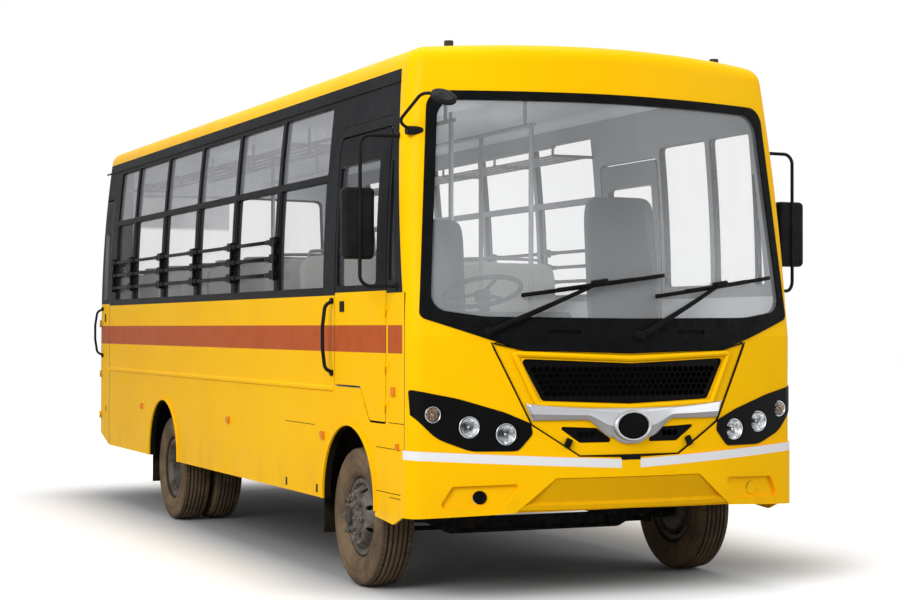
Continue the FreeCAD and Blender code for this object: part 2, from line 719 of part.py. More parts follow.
# Chassis
def chassis_frame():
    """Two channel rails with cross-members riveted between them and the spring hangers below."""
    front = aft(-1080)
    rear = TAIL_Y - WALL - 60
    pieces = []
    for side in (-1, 1):
        inner = side * (RAIL_X - RAIL_WIDTH / 2)
        outer = side * (RAIL_X + RAIL_WIDTH / 2)
        rail = box(inner, outer, front, rear, RAIL_BOTTOM_Z, RAIL_TOP_Z)
        hollow = box(inner - side * 1, outer - side * RAIL_SHEET, front - 1, rear + 1,
                     RAIL_BOTTOM_Z + RAIL_SHEET, RAIL_TOP_Z - RAIL_SHEET)
        pieces.append(rail.cut(hollow))
        for axle, length, eye_z in SPRINGS:
            for end in (-1, 1):
                y = axle + end * length
                parts = []
                for cheek in (-1, 1):
                    face = side * RAIL_X + cheek * (SPRING_WIDTH / 2 + 1)
                    parts.append(box(face, face + cheek * 6, y - 35, y + 35, eye_z - 32, RAIL_BOTTOM_Z - RUNNING))
                pin_start = (side * RAIL_X - SPRING_WIDTH / 2 - 8, y, eye_z)
                pin_end = (side * RAIL_X + SPRING_WIDTH / 2 + 8, y, eye_z)
                pieces.append(fuse(parts + [rod(pin_start, pin_end, EYE_PIN)]))
    reach = RAIL_X + RAIL_WIDTH / 2 - RAIL_SHEET - RUNNING
    for distance in CROSS_MEMBERS:
        y = aft(distance)
        pieces.append(box(-reach, reach, y - 35, y + 35, RAIL_TOP_Z - 110, RAIL_TOP_Z - RAIL_SHEET - RUNNING))
    return group(pieces)


EYE_PIN = 12.0
SPRINGS = ((FRONT_AXLE_Y, 600.0, 545.0), (REAR_AXLE_Y, 650.0, 570.0))
CROSS_MEMBERS = (-1020.0, 700.0, 1750.0, 2800.0, 3450.0, 4800.0, 5600.0)
FRONT_SEAT_Z = 372.0
REAR_SEAT_Z = 468.0


def leaf_springs():
    """Four packs of stepped leaves, each with an eye at both ends."""
    packs = []
    for (axle, length, eye_z), seat_z, leaves in zip(SPRINGS, (FRONT_SEAT_Z, REAR_SEAT_Z), (5, 4)):
        bottom = seat_z + RUNNING
        top_leaf = bottom + leaves * LEAF
        sag = eye_z - top_leaf - LEAF / 2
        radius = (length ** 2 + sag ** 2) / (2 * sag)
        for side in (-1, 1):
            x0 = side * RAIL_X - SPRING_WIDTH / 2
            centre = Vector(x0, axle, top_leaf + radius)
            strips = []
            for leaf in range(leaves):
                reach = length * (1 - 0.17 * leaf)
                ring = Part.makeCylinder(radius + LEAF * (leaf + 1), SPRING_WIDTH, centre, Vector(1, 0, 0))
                ring = ring.cut(Part.makeCylinder(radius + LEAF * leaf, SPRING_WIDTH, centre, Vector(1, 0, 0)))
                strips.append(ring.common(box(x0, x0 + SPRING_WIDTH, axle - reach, axle + reach, 0, eye_z + 60)))
            for end in (-1, 1):
                strips.append(Part.makeCylinder(EYE_PIN + 12, SPRING_WIDTH, Vector(x0, axle + end * length, eye_z),
                                                Vector(1, 0, 0)))
            pack = fuse(strips)
            for end in (-1, 1):
                pack = pack.cut(Part.makeCylinder(EYE_PIN + RUNNING, SPRING_WIDTH + 2,
                                                  Vector(x0 - 1, axle + end * length, eye_z), Vector(1, 0, 0)))
            packs.append(pack)
    return group(packs)


BOSS_RADIUS = 34.0
BOSS_HALF = 45.0
YOKE = 28.0


def front_axle():
    """The forged beam: dropped between the springs, an eye for the kingpin at each end."""
    z = TYRE_RADIUS
    half = [(KINGPIN_X, z + 38), (690, z + 30, 80), (540, FRONT_SEAT_Z, 60)]
    under = [(560, FRONT_SEAT_Z - 90, 60), (700, z - 52, 80), (KINGPIN_X, z - 38)]
    left = [(-p[0],) + tuple(p[1:]) for p in half]
    left_under = [(-p[0],) + tuple(p[1:]) for p in under]
    outline = half + left[::-1] + left_under[::-1] + under
    beam = prism("y", outline, FRONT_AXLE_Y - 32, FRONT_AXLE_Y + 32)
    pocket = mirrored([(0, FRONT_SEAT_Z - 16), (500, FRONT_SEAT_Z - 16, 10), (500, FRONT_SEAT_Z - 74, 10),
                       (0, FRONT_SEAT_Z - 74)])
    for face in (-1, 1):
        beam = beam.cut(prism("y", pocket, FRONT_AXLE_Y + face * 12, FRONT_AXLE_Y + face * 40))
    parts = [beam]
    for side in (-1, 1):
        parts.append(rod((side * KINGPIN_X, FRONT_AXLE_Y, z - BOSS_HALF), (side * KINGPIN_X, FRONT_AXLE_Y, z + BOSS_HALF),
                         BOSS_RADIUS))
    axle = fuse(parts)
    for side in (-1, 1):
        axle = axle.cut(rod((side * KINGPIN_X, FRONT_AXLE_Y, z - 200), (side * KINGPIN_X, FRONT_AXLE_Y, z + 200),
                            KINGPIN_RADIUS + RUNNING))
    return axle


def knuckle(side):
    """A steering knuckle: yoke, kingpin, wheel spindle and the arm for the tie rod."""
    z = TYRE_RADIUS
    y = FRONT_AXLE_Y
    x = side * KINGPIN_X
    pin = rod((x, y, z - BOSS_HALF - YOKE), (x, y, z + BOSS_HALF + YOKE), KINGPIN_RADIUS)
    parts = [pin]
    for end in (-1, 1):
        near = z + end * (BOSS_HALF + 1)
        far = z + end * (BOSS_HALF + YOKE)
        parts.append(rod((x, y, near), (x, y, far), BOSS_RADIUS))
        parts.append(box(x, x + side * 62, y - 30, y + 30, near, far))
    parts.append(box(x + side * 42, x + side * 62, y - 45, y + 45, z - BOSS_HALF - YOKE, z + BOSS_HALF + YOKE))
    spindle_end = side * (FRONT_TRACK_HALF + HUB_END - 2 * HUB_WALL)
    parts.append(rod((x + side * 60, y, z), (spindle_end, y, z), SPINDLE_RADIUS))
    arm_z = TIE_ROD_Z + 22
    parts.append(box(x - 18, x + 18, y - 10, y + STEER_ARM, arm_z, arm_z + 22))
    parts.append(rod((x, y, arm_z), (x, y, z - BOSS_HALF - 2), BOSS_RADIUS))
    parts.append(rod((x, y + STEER_ARM, TIE_ROD_Z - 20), (x, y + STEER_ARM, arm_z + 22), 10))
    parts.append(rod((x, y + STEER_ARM, arm_z), (x, y + STEER_ARM, arm_z + 22), 18))
    return fuse(parts)


def tie_rod():
    """The bar that links the two steering arms, with an eye at each end."""
    y = FRONT_AXLE_Y + STEER_ARM
    bar = rod((-KINGPIN_X, y, TIE_ROD_Z), (KINGPIN_X, y, TIE_ROD_Z), 14)
    parts = [bar]
    for side in (-1, 1):
        parts.append(rod((side * KINGPIN_X, y, TIE_ROD_Z - 19), (side * KINGPIN_X, y, TIE_ROD_Z + 19), 26))
    whole = fuse(parts)
    for side in (-1, 1):
        whole = whole.cut(rod((side * KINGPIN_X, y, TIE_ROD_Z - 60), (side * KINGPIN_X, y, TIE_ROD_Z + 60), 10 + RUNNING))
    return whole


WHEEL_FACE = 104.0
HUB_END = 150.0
HUB_WALL = 20.0
DRUM_RADIUS = 160.0
DISC_SHEET = 10.0


def tyre(x, y):
    """One tyre: rounded shoulders, four ribs and bulged sidewalls on a straight bead."""
    half = TYRE_WIDTH / 2
    radius = TYRE_RADIUS
    groove = 9.0
    outside = [(62, RIM_RADIUS + 1 + RUNNING), (62, RIM_RADIUS + 22), (half * 0.86, RIM_RADIUS + 40), (half, radius * 0.76),
               (half * 0.96, radius - 34), (half * 0.80, radius - 9), (half * 0.52, radius - 2),
               (half * 0.46, radius - 2 - groove), (half * 0.38, radius - 2 - groove), (half * 0.34, radius - 1),
               (half * 0.06, radius), (half * 0.03, radius - groove)]
    whole = outside + [(-a, r) for a, r in reversed(outside)]
    return turned(whole, x, y, TYRE_RADIUS)


def disc_wheel(x, y, side, face):
    """A rim with its dished disc; face is how far the disc's mounting face stands outboard."""
    half = TYRE_WIDTH / 2 * 0.60
    rim = turned([(-half - 8, RIM_RADIUS + 18), (-half - 8, RIM_RADIUS - 6), (-half + 20, RIM_RADIUS - 22),
                  (half - 20, RIM_RADIUS - 22), (half + 8, RIM_RADIUS - 6), (half + 8, RIM_RADIUS + 18),
                  (half, RIM_RADIUS + 18), (half, RIM_RADIUS + 1), (-half, RIM_RADIUS + 1), (-half, RIM_RADIUS + 18)],
                 x, y, TYRE_RADIUS)
    way = 1 if face > 0 else -1
    depth = abs(face)
    root = half - 30
    disc = turned([(way * a, r) for a, r in ((root, RIM_RADIUS - 20), (depth - DISC_SHEET, 150), (depth - DISC_SHEET, 88),
                                             (depth, 88), (depth, 154), (root + 18, RIM_RADIUS - 20))],
                  x, y, TYRE_RADIUS, side)
    holes = []
    for step in range(8):
        angle = math.radians(45 * step + 22.5)
        cy = y + 164 * math.cos(angle)
        cz = TYRE_RADIUS + 164 * math.sin(angle)
        holes.append(rod((x, cy, cz), (x + side * way * (depth + 40), cy, cz), 15))
    return fuse([rim, disc]).cut(holes)


def hub(x, y, side, drum, flange, end, spindle):
    """A hub with its brake drum, the flange that holds the disc, and a closed cap."""
    bore = spindle + RUNNING
    profile = [(drum[0], bore), (drum[0], DRUM_RADIUS), (drum[1], DRUM_RADIUS), (drum[1], 84), (flange[0], 84),
               (flange[0], 100), (flange[1], 100), (flange[1], 72), (end - 8, 62), (end, 48), (end, 0),
               (end - HUB_WALL, 0), (end - HUB_WALL, bore)]
    return turned(profile, x, y, TYRE_RADIUS, side)


def front_wheel(side):
    """The front rim, dished outward, on its hub."""
    x = side * FRONT_TRACK_HALF
    return fuse([disc_wheel(x, FRONT_AXLE_Y, side, WHEEL_FACE),
                 hub(x, FRONT_AXLE_Y, side, (-75, 0), (WHEEL_FACE - DISC_SHEET, WHEEL_FACE + 4), HUB_END, SPINDLE_RADIUS)])


def rear_wheels(side):
    """The twin rear rims bolted back to back on one hub."""
    x = side * REAR_OUTER_X
    face = DUAL_SPACING / 2
    outer = disc_wheel(x, REAR_AXLE_Y, side, -face)
    inner = disc_wheel(side * (REAR_OUTER_X - DUAL_SPACING), REAR_AXLE_Y, side, face)
    middle = hub(x, REAR_AXLE_Y, side, (-DUAL_SPACING - 72, -DUAL_SPACING + 20), (-face - 12, -face + 14), -20,
                 REAR_SPINDLE_RADIUS)
    return fuse([outer, inner, middle])


def rear_axle():
    """The rear axle casing with its round final drive, spindles and the propeller shaft."""
    z = TYRE_RADIUS
    tube = rod((-600, REAR_AXLE_Y, z), (600, REAR_AXLE_Y, z), 58)
    drive = turned([(-120, 30), (-95, 140), (-40, 185), (40, 185), (95, 140), (120, 30)], 0, REAR_AXLE_Y, z)
    nose = Part.makeCone(110, 60, 190, Vector(0, REAR_AXLE_Y - 120, z + 10), Vector(0, -1, 0.06))
    shaft = rod((0, REAR_AXLE_Y - 300, z + 20), (0, aft(ENGINE_REAR) + 2.7, 600), 42)
    spindles = [rod((side * 590, REAR_AXLE_Y, z), (side * (REAR_OUTER_X - 20 - 2 * HUB_WALL), REAR_AXLE_Y, z),
                    REAR_SPINDLE_RADIUS)
                for side in (-1, 1)]
    seats = [box(side * (RAIL_X - 40), side * (RAIL_X + 40), REAR_AXLE_Y - 60, REAR_AXLE_Y + 60, z, REAR_SEAT_Z)
             for side in (-1, 1)]
    return fuse([tube, drive, nose, shaft] + spindles + seats)


ENGINE_FRONT = -780.0
ENGINE_REAR = 560.0
ENGINE_HALF = 290.0
ENGINE_TOP_Z = 1290.0


def engine_block():
    """The engine and gearbox as one plain block between the rails."""
    block = box(-ENGINE_HALF, ENGINE_HALF, aft(ENGINE_FRONT), aft(60), 520, ENGINE_TOP_Z)
    gearbox = box(-190, 190, aft(60), aft(ENGINE_REAR), 520, 880)
    feet = [box(side * ENGINE_HALF, side * (RAIL_X - RAIL_WIDTH / 2 - RUNNING), aft(-300), aft(-220), 650, 700)
            for side in (-1, 1)]
    return fuse([block, gearbox] + feet)


COVER_HALF = 360.0
COVER_TOP_Z = 1430.0
COVER_REAR = 180.0


def engine_cover():
    """The insulated hump over the engine, between the driver and the front seat."""
    outside = prism("y", mirrored([(0, COVER_TOP_Z), (COVER_HALF - 40, COVER_TOP_Z, 60), (COVER_HALF, FLOOR_Z + PANEL_GAP)]),
                    aft(DASH_REAR) + PANEL_GAP, aft(COVER_REAR))
    inside = prism("y", mirrored([(0, COVER_TOP_Z - 30), (COVER_HALF - 70, COVER_TOP_Z - 30, 40),
                                  (COVER_HALF - 30, FLOOR_Z - 10)]), aft(DASH_REAR) - 10, aft(COVER_REAR) - 30)
    return outside.cut(inside)


def floor():
    """The floor sheet, open over the engine and at the entry steps."""
    sheet = box(-HALF, HALF, NOSE_Y, TAIL_Y, FLOOR_Z - FLOOR_SHEET, FLOOR_Z)
    sheet = sheet.cut(box(-ENGINE_HALF - 20, ENGINE_HALF + 20, aft(ENGINE_FRONT) - 20, aft(80), 900, 1200))
    sheet = sheet.cut(box(STEP_INNER, LENGTH, aft(ENTRY_FRONT), aft(ENTRY_REAR), 900, 1200))
    return sheet.common(inside(WALL + PANEL_GAP))


def floor_bearers():
    """The cross beams under the floor, each on two blocks over the chassis rails."""
    top = FLOOR_Z - FLOOR_SHEET - RUNNING
    low = top - BEARER_DEPTH
    reach = HALF - WALL - 5
    pieces = []
    for distance in BEARERS:
        y = aft(distance)
        left = STEP_INNER - 10 if ENTRY_FRONT < distance < ENTRY_REAR else reach
        pieces.append(box(-reach, left, y - 25, y + 25, low, top).common(inside(WALL + PANEL_GAP)))
        for side in (-1, 1):
            pieces.append(box(side * (RAIL_X - 30), side * (RAIL_X + 30), y - 25, y + 25, RAIL_TOP_Z + RUNNING,
                              low - RUNNING))
    return group(pieces)


BEARERS = (-985.0, 190.0, 850.0, 1700.0, 2500.0, 3300.0, 4080.0, 4900.0, 5700.0, 6200.0)
STEP_INNER = 800.0
DASH_REAR = -800.0


def entry_steps():
    """Two treads and their cheeks below the passenger door."""
    outer = HALF - WALL - 6
    inner = STEP_INNER + PANEL_GAP
    front = aft(ENTRY_FRONT) + PANEL_GAP
    rear = aft(ENTRY_REAR) - PANEL_GAP
    middle = (inner + outer) / 2
    steps = [box(middle, outer, front, rear, 520, 545), box(middle, middle + 12, front, rear, 520, 800),
             box(inner, middle + 12, front, rear, 780, 805), box(inner, inner + 12, front, rear, 780, FLOOR_Z)]
    for y in (front, rear - 12):
        steps.append(box(inner, outer, y, y + 12, 780, FLOOR_Z))
        steps.append(box(middle, outer, y, y + 12, 520, 800))
    return fuse(steps)


def fuel_tank():
    """The fuel tank hung on the right rail by two straps."""
    tank = box(-1060, -RAIL_X - RAIL_WIDTH / 2 - 40, aft(1500), aft(2350), 530, 850)
    tank = tank.makeFillet(45, [e for e in tank.Edges if abs(e.tangentAt(0).y) > 0.9])
    straps = [box(-RAIL_X - RAIL_WIDTH / 2 - 60, -RAIL_X - RAIL_WIDTH / 2 - RUNNING, y, y + 50, 660, 700)
              for y in (aft(1650), aft(2150))]
    return fuse([tank] + straps)


# Doors
def hinge_leaves(y, side, heights, door_sign, x=None):
    """Door leaves and body leaves of a row of barrel hinges standing off a body side."""
    face = side * HALF
    centre = side * (HALF + HINGE_OUT)
    doors, frames = [], []
    for z in heights:
        for pieces, low, sign in ((doors, z, door_sign), (frames, z + BARREL_LENGTH / 2 + RUNNING, -door_sign)):
            barrel = rod((centre, y, low), (centre, y, low + BARREL_LENGTH / 2), BARREL_RADIUS)
            leaf = box(face - side * 0.5, face + side * (HINGE_OUT + 2), y, y + sign * 48, low, low + BARREL_LENGTH / 2)
            leaf = leaf.cut(box(face + side * 5, face + side * 60, y + sign * 9, y + sign * 60, low - 1, low + 60))
            pieces.append(fuse([barrel, leaf.cut(box(-LENGTH, LENGTH, y - sign * 1, y + sign * 6.2, low - 1, low + 60).common(
                box(face - side * 5, face + side * 1.2, -LENGTH, LENGTH, low - 2, low + 70)))]))
    return doors, frames


DRIVER_HINGE_Y = aft(DOOR_FRONT) - DOOR_GAP / 2
ENTRY_HINGE_Y = aft(ENTRY_FRONT) - DOOR_GAP / 2
EMERGENCY_HINGE_Y = aft(EMERGENCY_REAR) + DOOR_GAP / 2
DRIVER_HINGES = (1040.0, 1250.0, 1560.0)
ENTRY_HINGES = (640.0, 1060.0, 1560.0)
EMERGENCY_HINGES = (700.0, 1060.0, 1500.0)


def door(points, window, side, hinge_y, heights, door_sign):
    """A door cut from the body's own skin, with its window and hinge leaves."""
    panel = layer(0, WALL).common(through_side(points, side)).cut(through_side(window, side))
    leaves = hinge_leaves(hinge_y, side, heights, door_sign)[0]
    return fuse([panel] + leaves)


def door_glass(window, side):
    """The pane of a door."""
    return layer(GLASS_INSET, GLASS_INSET + GLASS).common(through_side(window, side, -PANEL_GAP))


# Fittings
MIRROR_X = 1387.0
MIRROR_Z = 2062.0
ROUND_MIRROR_TILT = 40.0


def mirrors():
    """A long door mirror on a bowed arm at each side, and a round one on the right pillar."""
    pieces = []
    for side in (-1, 1):
        top = (side * (side_x(2520) + 2), aft(-700), 2540)
        foot = (side * (side_x(1700) + 2), aft(-760), 1720)
        x = side * MIRROR_X
        arm = bent_rod([top, (x, aft(-690), 2540), (x, aft(-690), 1720), foot], 10, 60)
        head = box(x - 92, x + 92, aft(-688), aft(-605), MIRROR_Z - 195, MIRROR_Z + 195)
        head = head.makeFillet(28, head.Edges)
        pads = [Part.makeCylinder(24, 14, Vector(side * (side_x(p[2]) - 8), p[1], p[2]), Vector(side, 0, 0)) for p in (top, foot)]
        pieces.append(fuse([arm, head] + pads).cut(inside(-RUNNING)))
    start = (-(side_x(2600) - 10), aft(-830), 2560)
    arm = bent_rod([start, (-1235, aft(-870), 2600), (-1180, aft(-1060), 2735), (-1080, aft(-1105), 2728)], 9, 60)
    dish = turned([(-16, 0), (-16, 52), (-8, 72), (4, 72), (12, 52), (18, 0)], 0, 0, 0)
    dish.rotate(Vector(0, 0, 0), Vector(0, 1, 0), 90)
    dish.rotate(Vector(0, 0, 0), Vector(1, 0, 0), ROUND_MIRROR_TILT)
    dish.translate(Vector(-1075, aft(-1105), 2712))
    pad = Part.makeCylinder(24, 90, Vector(-(side_x(2560) - 80), aft(-830), 2560), Vector(-1, 0, 0))
    pieces.append(fuse([arm, pad, dish]).cut(inside(-RUNNING)))
    return group(pieces)


WIPERS = ((-809.0, 1474.0, -183.0, 1742.0), (45.0, 1454.0, 604.0, 1742.0))


def screen_at(x, z):
    """The screen's outer Y at a place above its foot."""
    return nose_at(x) + math.tan(SCREEN_RAKE) * max(0.0, z - FOOT_Z)


def over_screen(start, end, out, radius):
    """A rod bowed with the screen between two front-view points, standing out from the glass."""
    points = []
    for share in (0.0, 0.5, 1.0):
        x = start[0] + (end[0] - start[0]) * share
        z = start[1] + (end[1] - start[1]) * share
        points.append(Vector(x, screen_at(x, z) - out, z))
    arc = Part.Arc(*points).toShape()
    face = Part.Wire(Part.makeCircle(radius, points[0], arc.tangentAt(arc.FirstParameter)))
    return Part.Wire(arc).makePipeShell([face], True, True)


def wipers():
    """Two wipers: a spindle on the cowl, a bowed arm and a blade along the glass."""
    pieces = []
    for px, pz, ax, az in WIPERS:
        y = screen_at(px, pz)
        spindle = rod((px, y + 10, pz), (px, y - 36, pz), 22).cut(inside(-6 - RUNNING))
        arm = over_screen((px, pz), (ax, az), 30, 12)
        blade = over_screen((ax - 430, az - 70), (ax + 340, az + 35), 20, 11)
        pieces.append(fuse([spindle, arm, blade]))
    return group(pieces)


def dashboard():
    """The dashboard with its instrument hood, ahead of the driver."""
    shelf = prism("x", [(NOSE_Y - 100, FLOOR_Z + PANEL_GAP), (NOSE_Y - 100, 1500), (aft(DASH_REAR) - 60, 1500, 40),
                        (aft(DASH_REAR), 1400, 40), (aft(DASH_REAR), FLOOR_Z + PANEL_GAP)], -HALF, HALF)
    hood = prism("x", [(aft(DASH_REAR) - 200, 1450), (aft(DASH_REAR) - 180, 1600, 60), (aft(DASH_REAR) - 30, 1560, 30),
                       (aft(DASH_REAR) - 40, 1450)], -860, -250)
    body = fuse([shelf, hood]).common(inside(WALL + PANEL_GAP))
    hollow = prism("x", [(NOSE_Y - 200, 0), (NOSE_Y - 200, 1460), (aft(DASH_REAR) - 80, 1460), (aft(DASH_REAR) - 50, 1380),
                         (aft(DASH_REAR) - 50, 0)], -HALF + WALL + 40, HALF - WALL - 40)
    return body.cut(hollow)


WHEEL_X = -560.0


def steering_wheel():
    """The wheel, its hub and the column down to the floor."""
    centre = Vector(WHEEL_X, aft(-470), 1700)
    axis = Vector(0, -0.36, -0.933)
    ring = Part.makeTorus(225, 14, centre, axis)
    hub = Part.makeCylinder(48, 50, centre + axis * 0, axis)
    spokes = []
    across = Vector(1, 0, 0)
    up = axis.cross(across).normalize()
    for angle in (90, 210, 330):
        way = across * math.cos(math.radians(angle)) + up * math.sin(math.radians(angle))
        spokes.append(Part.makeCylinder(11, 222, centre + axis * 12, way - axis * 0.05))
    foot = centre + axis * ((centre.z - FLOOR_Z) / 0.933)
    column = Part.makeCylinder(30, (foot - centre).Length - 20, centre + axis * 20, axis)
    column = column.cut(box(-LENGTH, LENGTH, -LENGTH, LENGTH, 0, FLOOR_Z + PANEL_GAP))
    return fuse([ring, hub, column] + spokes)


def seat(x0, x1, y, cushion_z, back_top, lean=60.0):
    """One bench: cushion, leaning back and two leg frames, its front edge at y."""
    depth = 420.0
    cushion = box(x0, x1, y, y + depth, cushion_z - 80, cushion_z)
    back = prism("x", [(y + depth - 20, cushion_z - 60), (y + depth + 50, cushion_z - 60), (y + depth + 50 + lean, back_top, 25),
                       (y + depth - 10 + lean, back_top, 25)], x0, x1)
    legs = [box(x, x + 30, y + 60, y + depth, FLOOR_Z + PANEL_GAP, cushion_z - 79) for x in (x0 + 60, x1 - 90)]
    return fuse([cushion, back] + legs)


SEAT_PITCH = 700.0


def passenger_seats():
    """Pairs of benches along both sides of the aisle."""
    pieces = []
    wall_x = HALF - WALL - 60
    for side in (-1, 1):
        first = 640.0 if side < 0 else 1420.0
        rows = int((REAR_SEAM - 560 - first) // SEAT_PITCH) + 1
        for row in range(rows):
            x0, x1 = sorted((side * 300, side * wall_x))
            pieces.append(seat(x0, x1, aft(first + SEAT_PITCH * row), 1480, 1960))
    pieces.append(seat(450, 930, aft(-330), 1480, 2230, 70.0))
    return group(pieces)


def driver_seat():
    """The driver's high-backed seat on its box."""
    chair = seat(-800, -380, aft(-280), 1520, 2150)
    return fuse([chair, box(-760, -420, aft(-220), aft(110), FLOOR_Z + PANEL_GAP, 1460)])


RAIL_HEIGHT = 2800.0


def handrails():
    """A rail along each side of the aisle on hangers, with poles down to the floor."""
    pieces = []
    for side in (-1, 1):
        x = side * 280
        rods = [rod((x, aft(560), RAIL_HEIGHT), (x, aft(6000), RAIL_HEIGHT), 14)]
        for distance in (700, 1900, 3300, 4700, 5900):
            rods.append(rod((x, aft(distance), RAIL_HEIGHT + 14 + RUNNING), (x, aft(distance), ROOF_Z), 12))
        for distance in (610, 1380, 2780, 4180):
            rods.append(rod((x, aft(distance), FLOOR_Z + PANEL_GAP), (x, aft(distance), RAIL_HEIGHT - 14 - RUNNING), 16))
        pieces.extend(piece.common(inside(WALL + PANEL_GAP)) for piece in rods)
    return group(pieces)


RACK_Z = 2680.0


def luggage_racks():
    """An open tube rack along each side above the windows' transom, carried by the pillars."""
    pieces = []
    front = WINDOW_START + WINDOW_PITCH - PILLAR
    rear = WINDOW_LAST + 52
    for side in (-1, 1):
        parts = [rod((side * x, aft(front), RACK_Z), (side * x, aft(rear), RACK_Z), 8) for x in (800, 885, 970, 1055)]
        parts.append(rod((side * 790, aft(front), RACK_Z + 60), (side * 790, aft(rear), RACK_Z + 60), 10))
        for bay in range(1, WINDOW_BAYS + 1):
            y = aft(min(WINDOW_START + WINDOW_PITCH * bay - PILLAR / 2, WINDOW_LAST + 26))
            parts.append(rod((side * 780, y, RACK_Z), (side * (HALF - 20), y, RACK_Z), 11))
            parts.append(rod((side * 790, y, RACK_Z), (side * 790, y, RACK_Z + 60), 9))
        pieces.append(fuse(parts).common(inside(WALL + PANEL_GAP)))
    return group(pieces)


def mud_flaps():
    """Rubber flaps behind each wheel, hung from the floor bearers."""
    pieces = []
    for side in (-1, 1):
        front = aft(520) if side < 0 else aft(ENTRY_FRONT) - 8
        for y, x0, x1, top in ((front, 860, 1150, FLOOR_Z - FLOOR_SHEET - PANEL_GAP),
                               (REAR_AXLE_Y + 480, 640, 1150, FLOOR_Z - FLOOR_SHEET - PANEL_GAP)):
            pieces.append(box(side * x0, side * x1, y, y + 8, 260, top))
    return group(pieces)


def bowed_handle(x, y, low, high, out, radius):
    """An upright bar bowed out from the side, its ends turned in to two round feet."""
    reach = -out if x < 0 else out
    points = [(x - reach * 0.2, y, low), (x + reach * 0.75, y, low + 34), (x + reach, y, (low + high) / 2 - 60),
              (x + reach, y, (low + high) / 2 + 60), (x + reach * 0.75, y, high - 34), (x - reach * 0.2, y, high)]
    bar = bent_rod(points, radius, 45)
    feet = [Part.makeCylinder(radius + 7, 16, Vector(x, y, z), Vector(math.copysign(1, x), 0, 0)) for z in (low + 8, high - 8)]
    return fuse([bar] + feet)


def grab_handles():
    """The bowed grab handle behind the driver's door."""
    y = aft(DOOR_REAR + 40)
    return bowed_handle(-HALF, y, 1222, 1662, 64, 11).cut(inside(-RUNNING))


def marker_lamps():
    """Two lamps on the roof's brow and the side markers."""
    pieces = []
    for side in (-1, 1):
        lamp = Part.makeCylinder(26, 60, Vector(side * 855, aft(-667), ROOF_Z - 40), Vector(0, 0, 1)).cut(inside(0))
        pieces.append(lamp.Solids[-1])
        for distance in (402, 2339, 4749):
            pieces.append(box(side * (HALF + PANEL_GAP), side * (HALF + 14), aft(distance) - 30, aft(distance) + 30, 845, 875))
    return group(pieces)


def emergency_handle():
    """The pull handle bowed out from the emergency door."""
    return bowed_handle(-HALF, aft(EMERGENCY_FRONT + 230), 1245, 1668, 72, 10).cut(inside(-RUNNING))


def main():
    """Builds every piece and writes it to its own file."""
    os.makedirs("parts", exist_ok=True)
    nodes = {
        "chassis_frame": chassis_frame(), "engine_block": engine_block(), "engine_cover": engine_cover(),
        "floor": floor(), "floor_bearers": floor_bearers(), "entry_steps": entry_steps(), "fuel_tank": fuel_tank(),
        "front_axle": front_axle(), "rear_axle": rear_axle(), "leaf_springs": leaf_springs(),
        "tie_rod": tie_rod(), "windscreen": windscreen(), "windscreen_surround": windscreen_surround(),
        "grille_panel": grille_panel(), "grille": grille(), "wing_bar": wing_bar(),
        "lamp_housings": lamp_housings(), "front_lamps": front_lamps(), "bumper": bumper(),
        "roof": roof(), "rear_panel": rear_panel(), "rear_glass": rear_glass(), "tail_lamps": tail_lamps(),
        "rear_bumper": rear_bumper(), "side_glass": side_glass(), "guard_bars": guard_bars(),
        "mirrors": mirrors(), "wipers": wipers(), "dashboard": dashboard(), "steering_wheel": steering_wheel(),
        "driver_seat": driver_seat(), "passenger_seats": passenger_seats(), "handrails": handrails(),
        "luggage_racks": luggage_racks(), "mud_flaps": mud_flaps(), "grab_handles": grab_handles(), "marker_lamps": marker_lamps(),
    }
    driver_leaves, driver_frames = hinge_leaves(DRIVER_HINGE_Y, -1, DRIVER_HINGES, 1)
    entry_leaves, entry_frames = hinge_leaves(ENTRY_HINGE_Y, 1, ENTRY_HINGES, 1)
    emergency_leaves, emergency_frames = hinge_leaves(EMERGENCY_HINGE_Y, -1, EMERGENCY_HINGES, -1)
    nodes["front_cap"] = front_cap()
    for name, side in SIDES:
        frames = driver_frames + emergency_frames if side < 0 else entry_frames
        nodes["side_panel_" + name] = fuse([side_panel(side)] + frames)
        nodes["window_frame_" + name] = window_frame(side)
        nodes["knuckle_" + name] = knuckle(side)
        nodes["front_rim_" + name] = front_wheel(side)
        nodes["front_tyre_" + name] = tyre(side * FRONT_TRACK_HALF, FRONT_AXLE_Y)
        nodes["rear_rims_" + name] = rear_wheels(side)
        nodes["rear_tyres_" + name] = group([tyre(side * REAR_OUTER_X, REAR_AXLE_Y),
                                             tyre(side * (REAR_OUTER_X - DUAL_SPACING), REAR_AXLE_Y)])
    nodes["driver_door"] = door(driver_door_points(), DRIVER_WINDOW, -1, DRIVER_HINGE_Y, DRIVER_HINGES, 1)
    nodes["driver_door_glass"] = door_glass(DRIVER_WINDOW, -1)
    nodes["passenger_door"] = door(entry_door_points(), ENTRY_WINDOW, 1, ENTRY_HINGE_Y, ENTRY_HINGES, 1)
    nodes["passenger_door_glass"] = door_glass(ENTRY_WINDOW, 1)
    nodes["emergency_door"] = door(emergency_door_points(), EMERGENCY_WINDOW, -1, EMERGENCY_HINGE_Y, EMERGENCY_HINGES, -1)
    nodes["emergency_handle"] = emergency_handle()
    nodes["emergency_door_glass"] = door_glass(EMERGENCY_WINDOW, -1)
    for name, shape in nodes.items():
        print(name, len(shape.Solids), shape.isValid(), round(shape.Volume / 1e6, 2))
        shape.exportStep("parts/" + name + ".step")


main()
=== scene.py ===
"""The school bus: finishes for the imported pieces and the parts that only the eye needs."""
import json
import math

import bmesh
import bpy
import numpy as np
from mathutils import Matrix, Vector

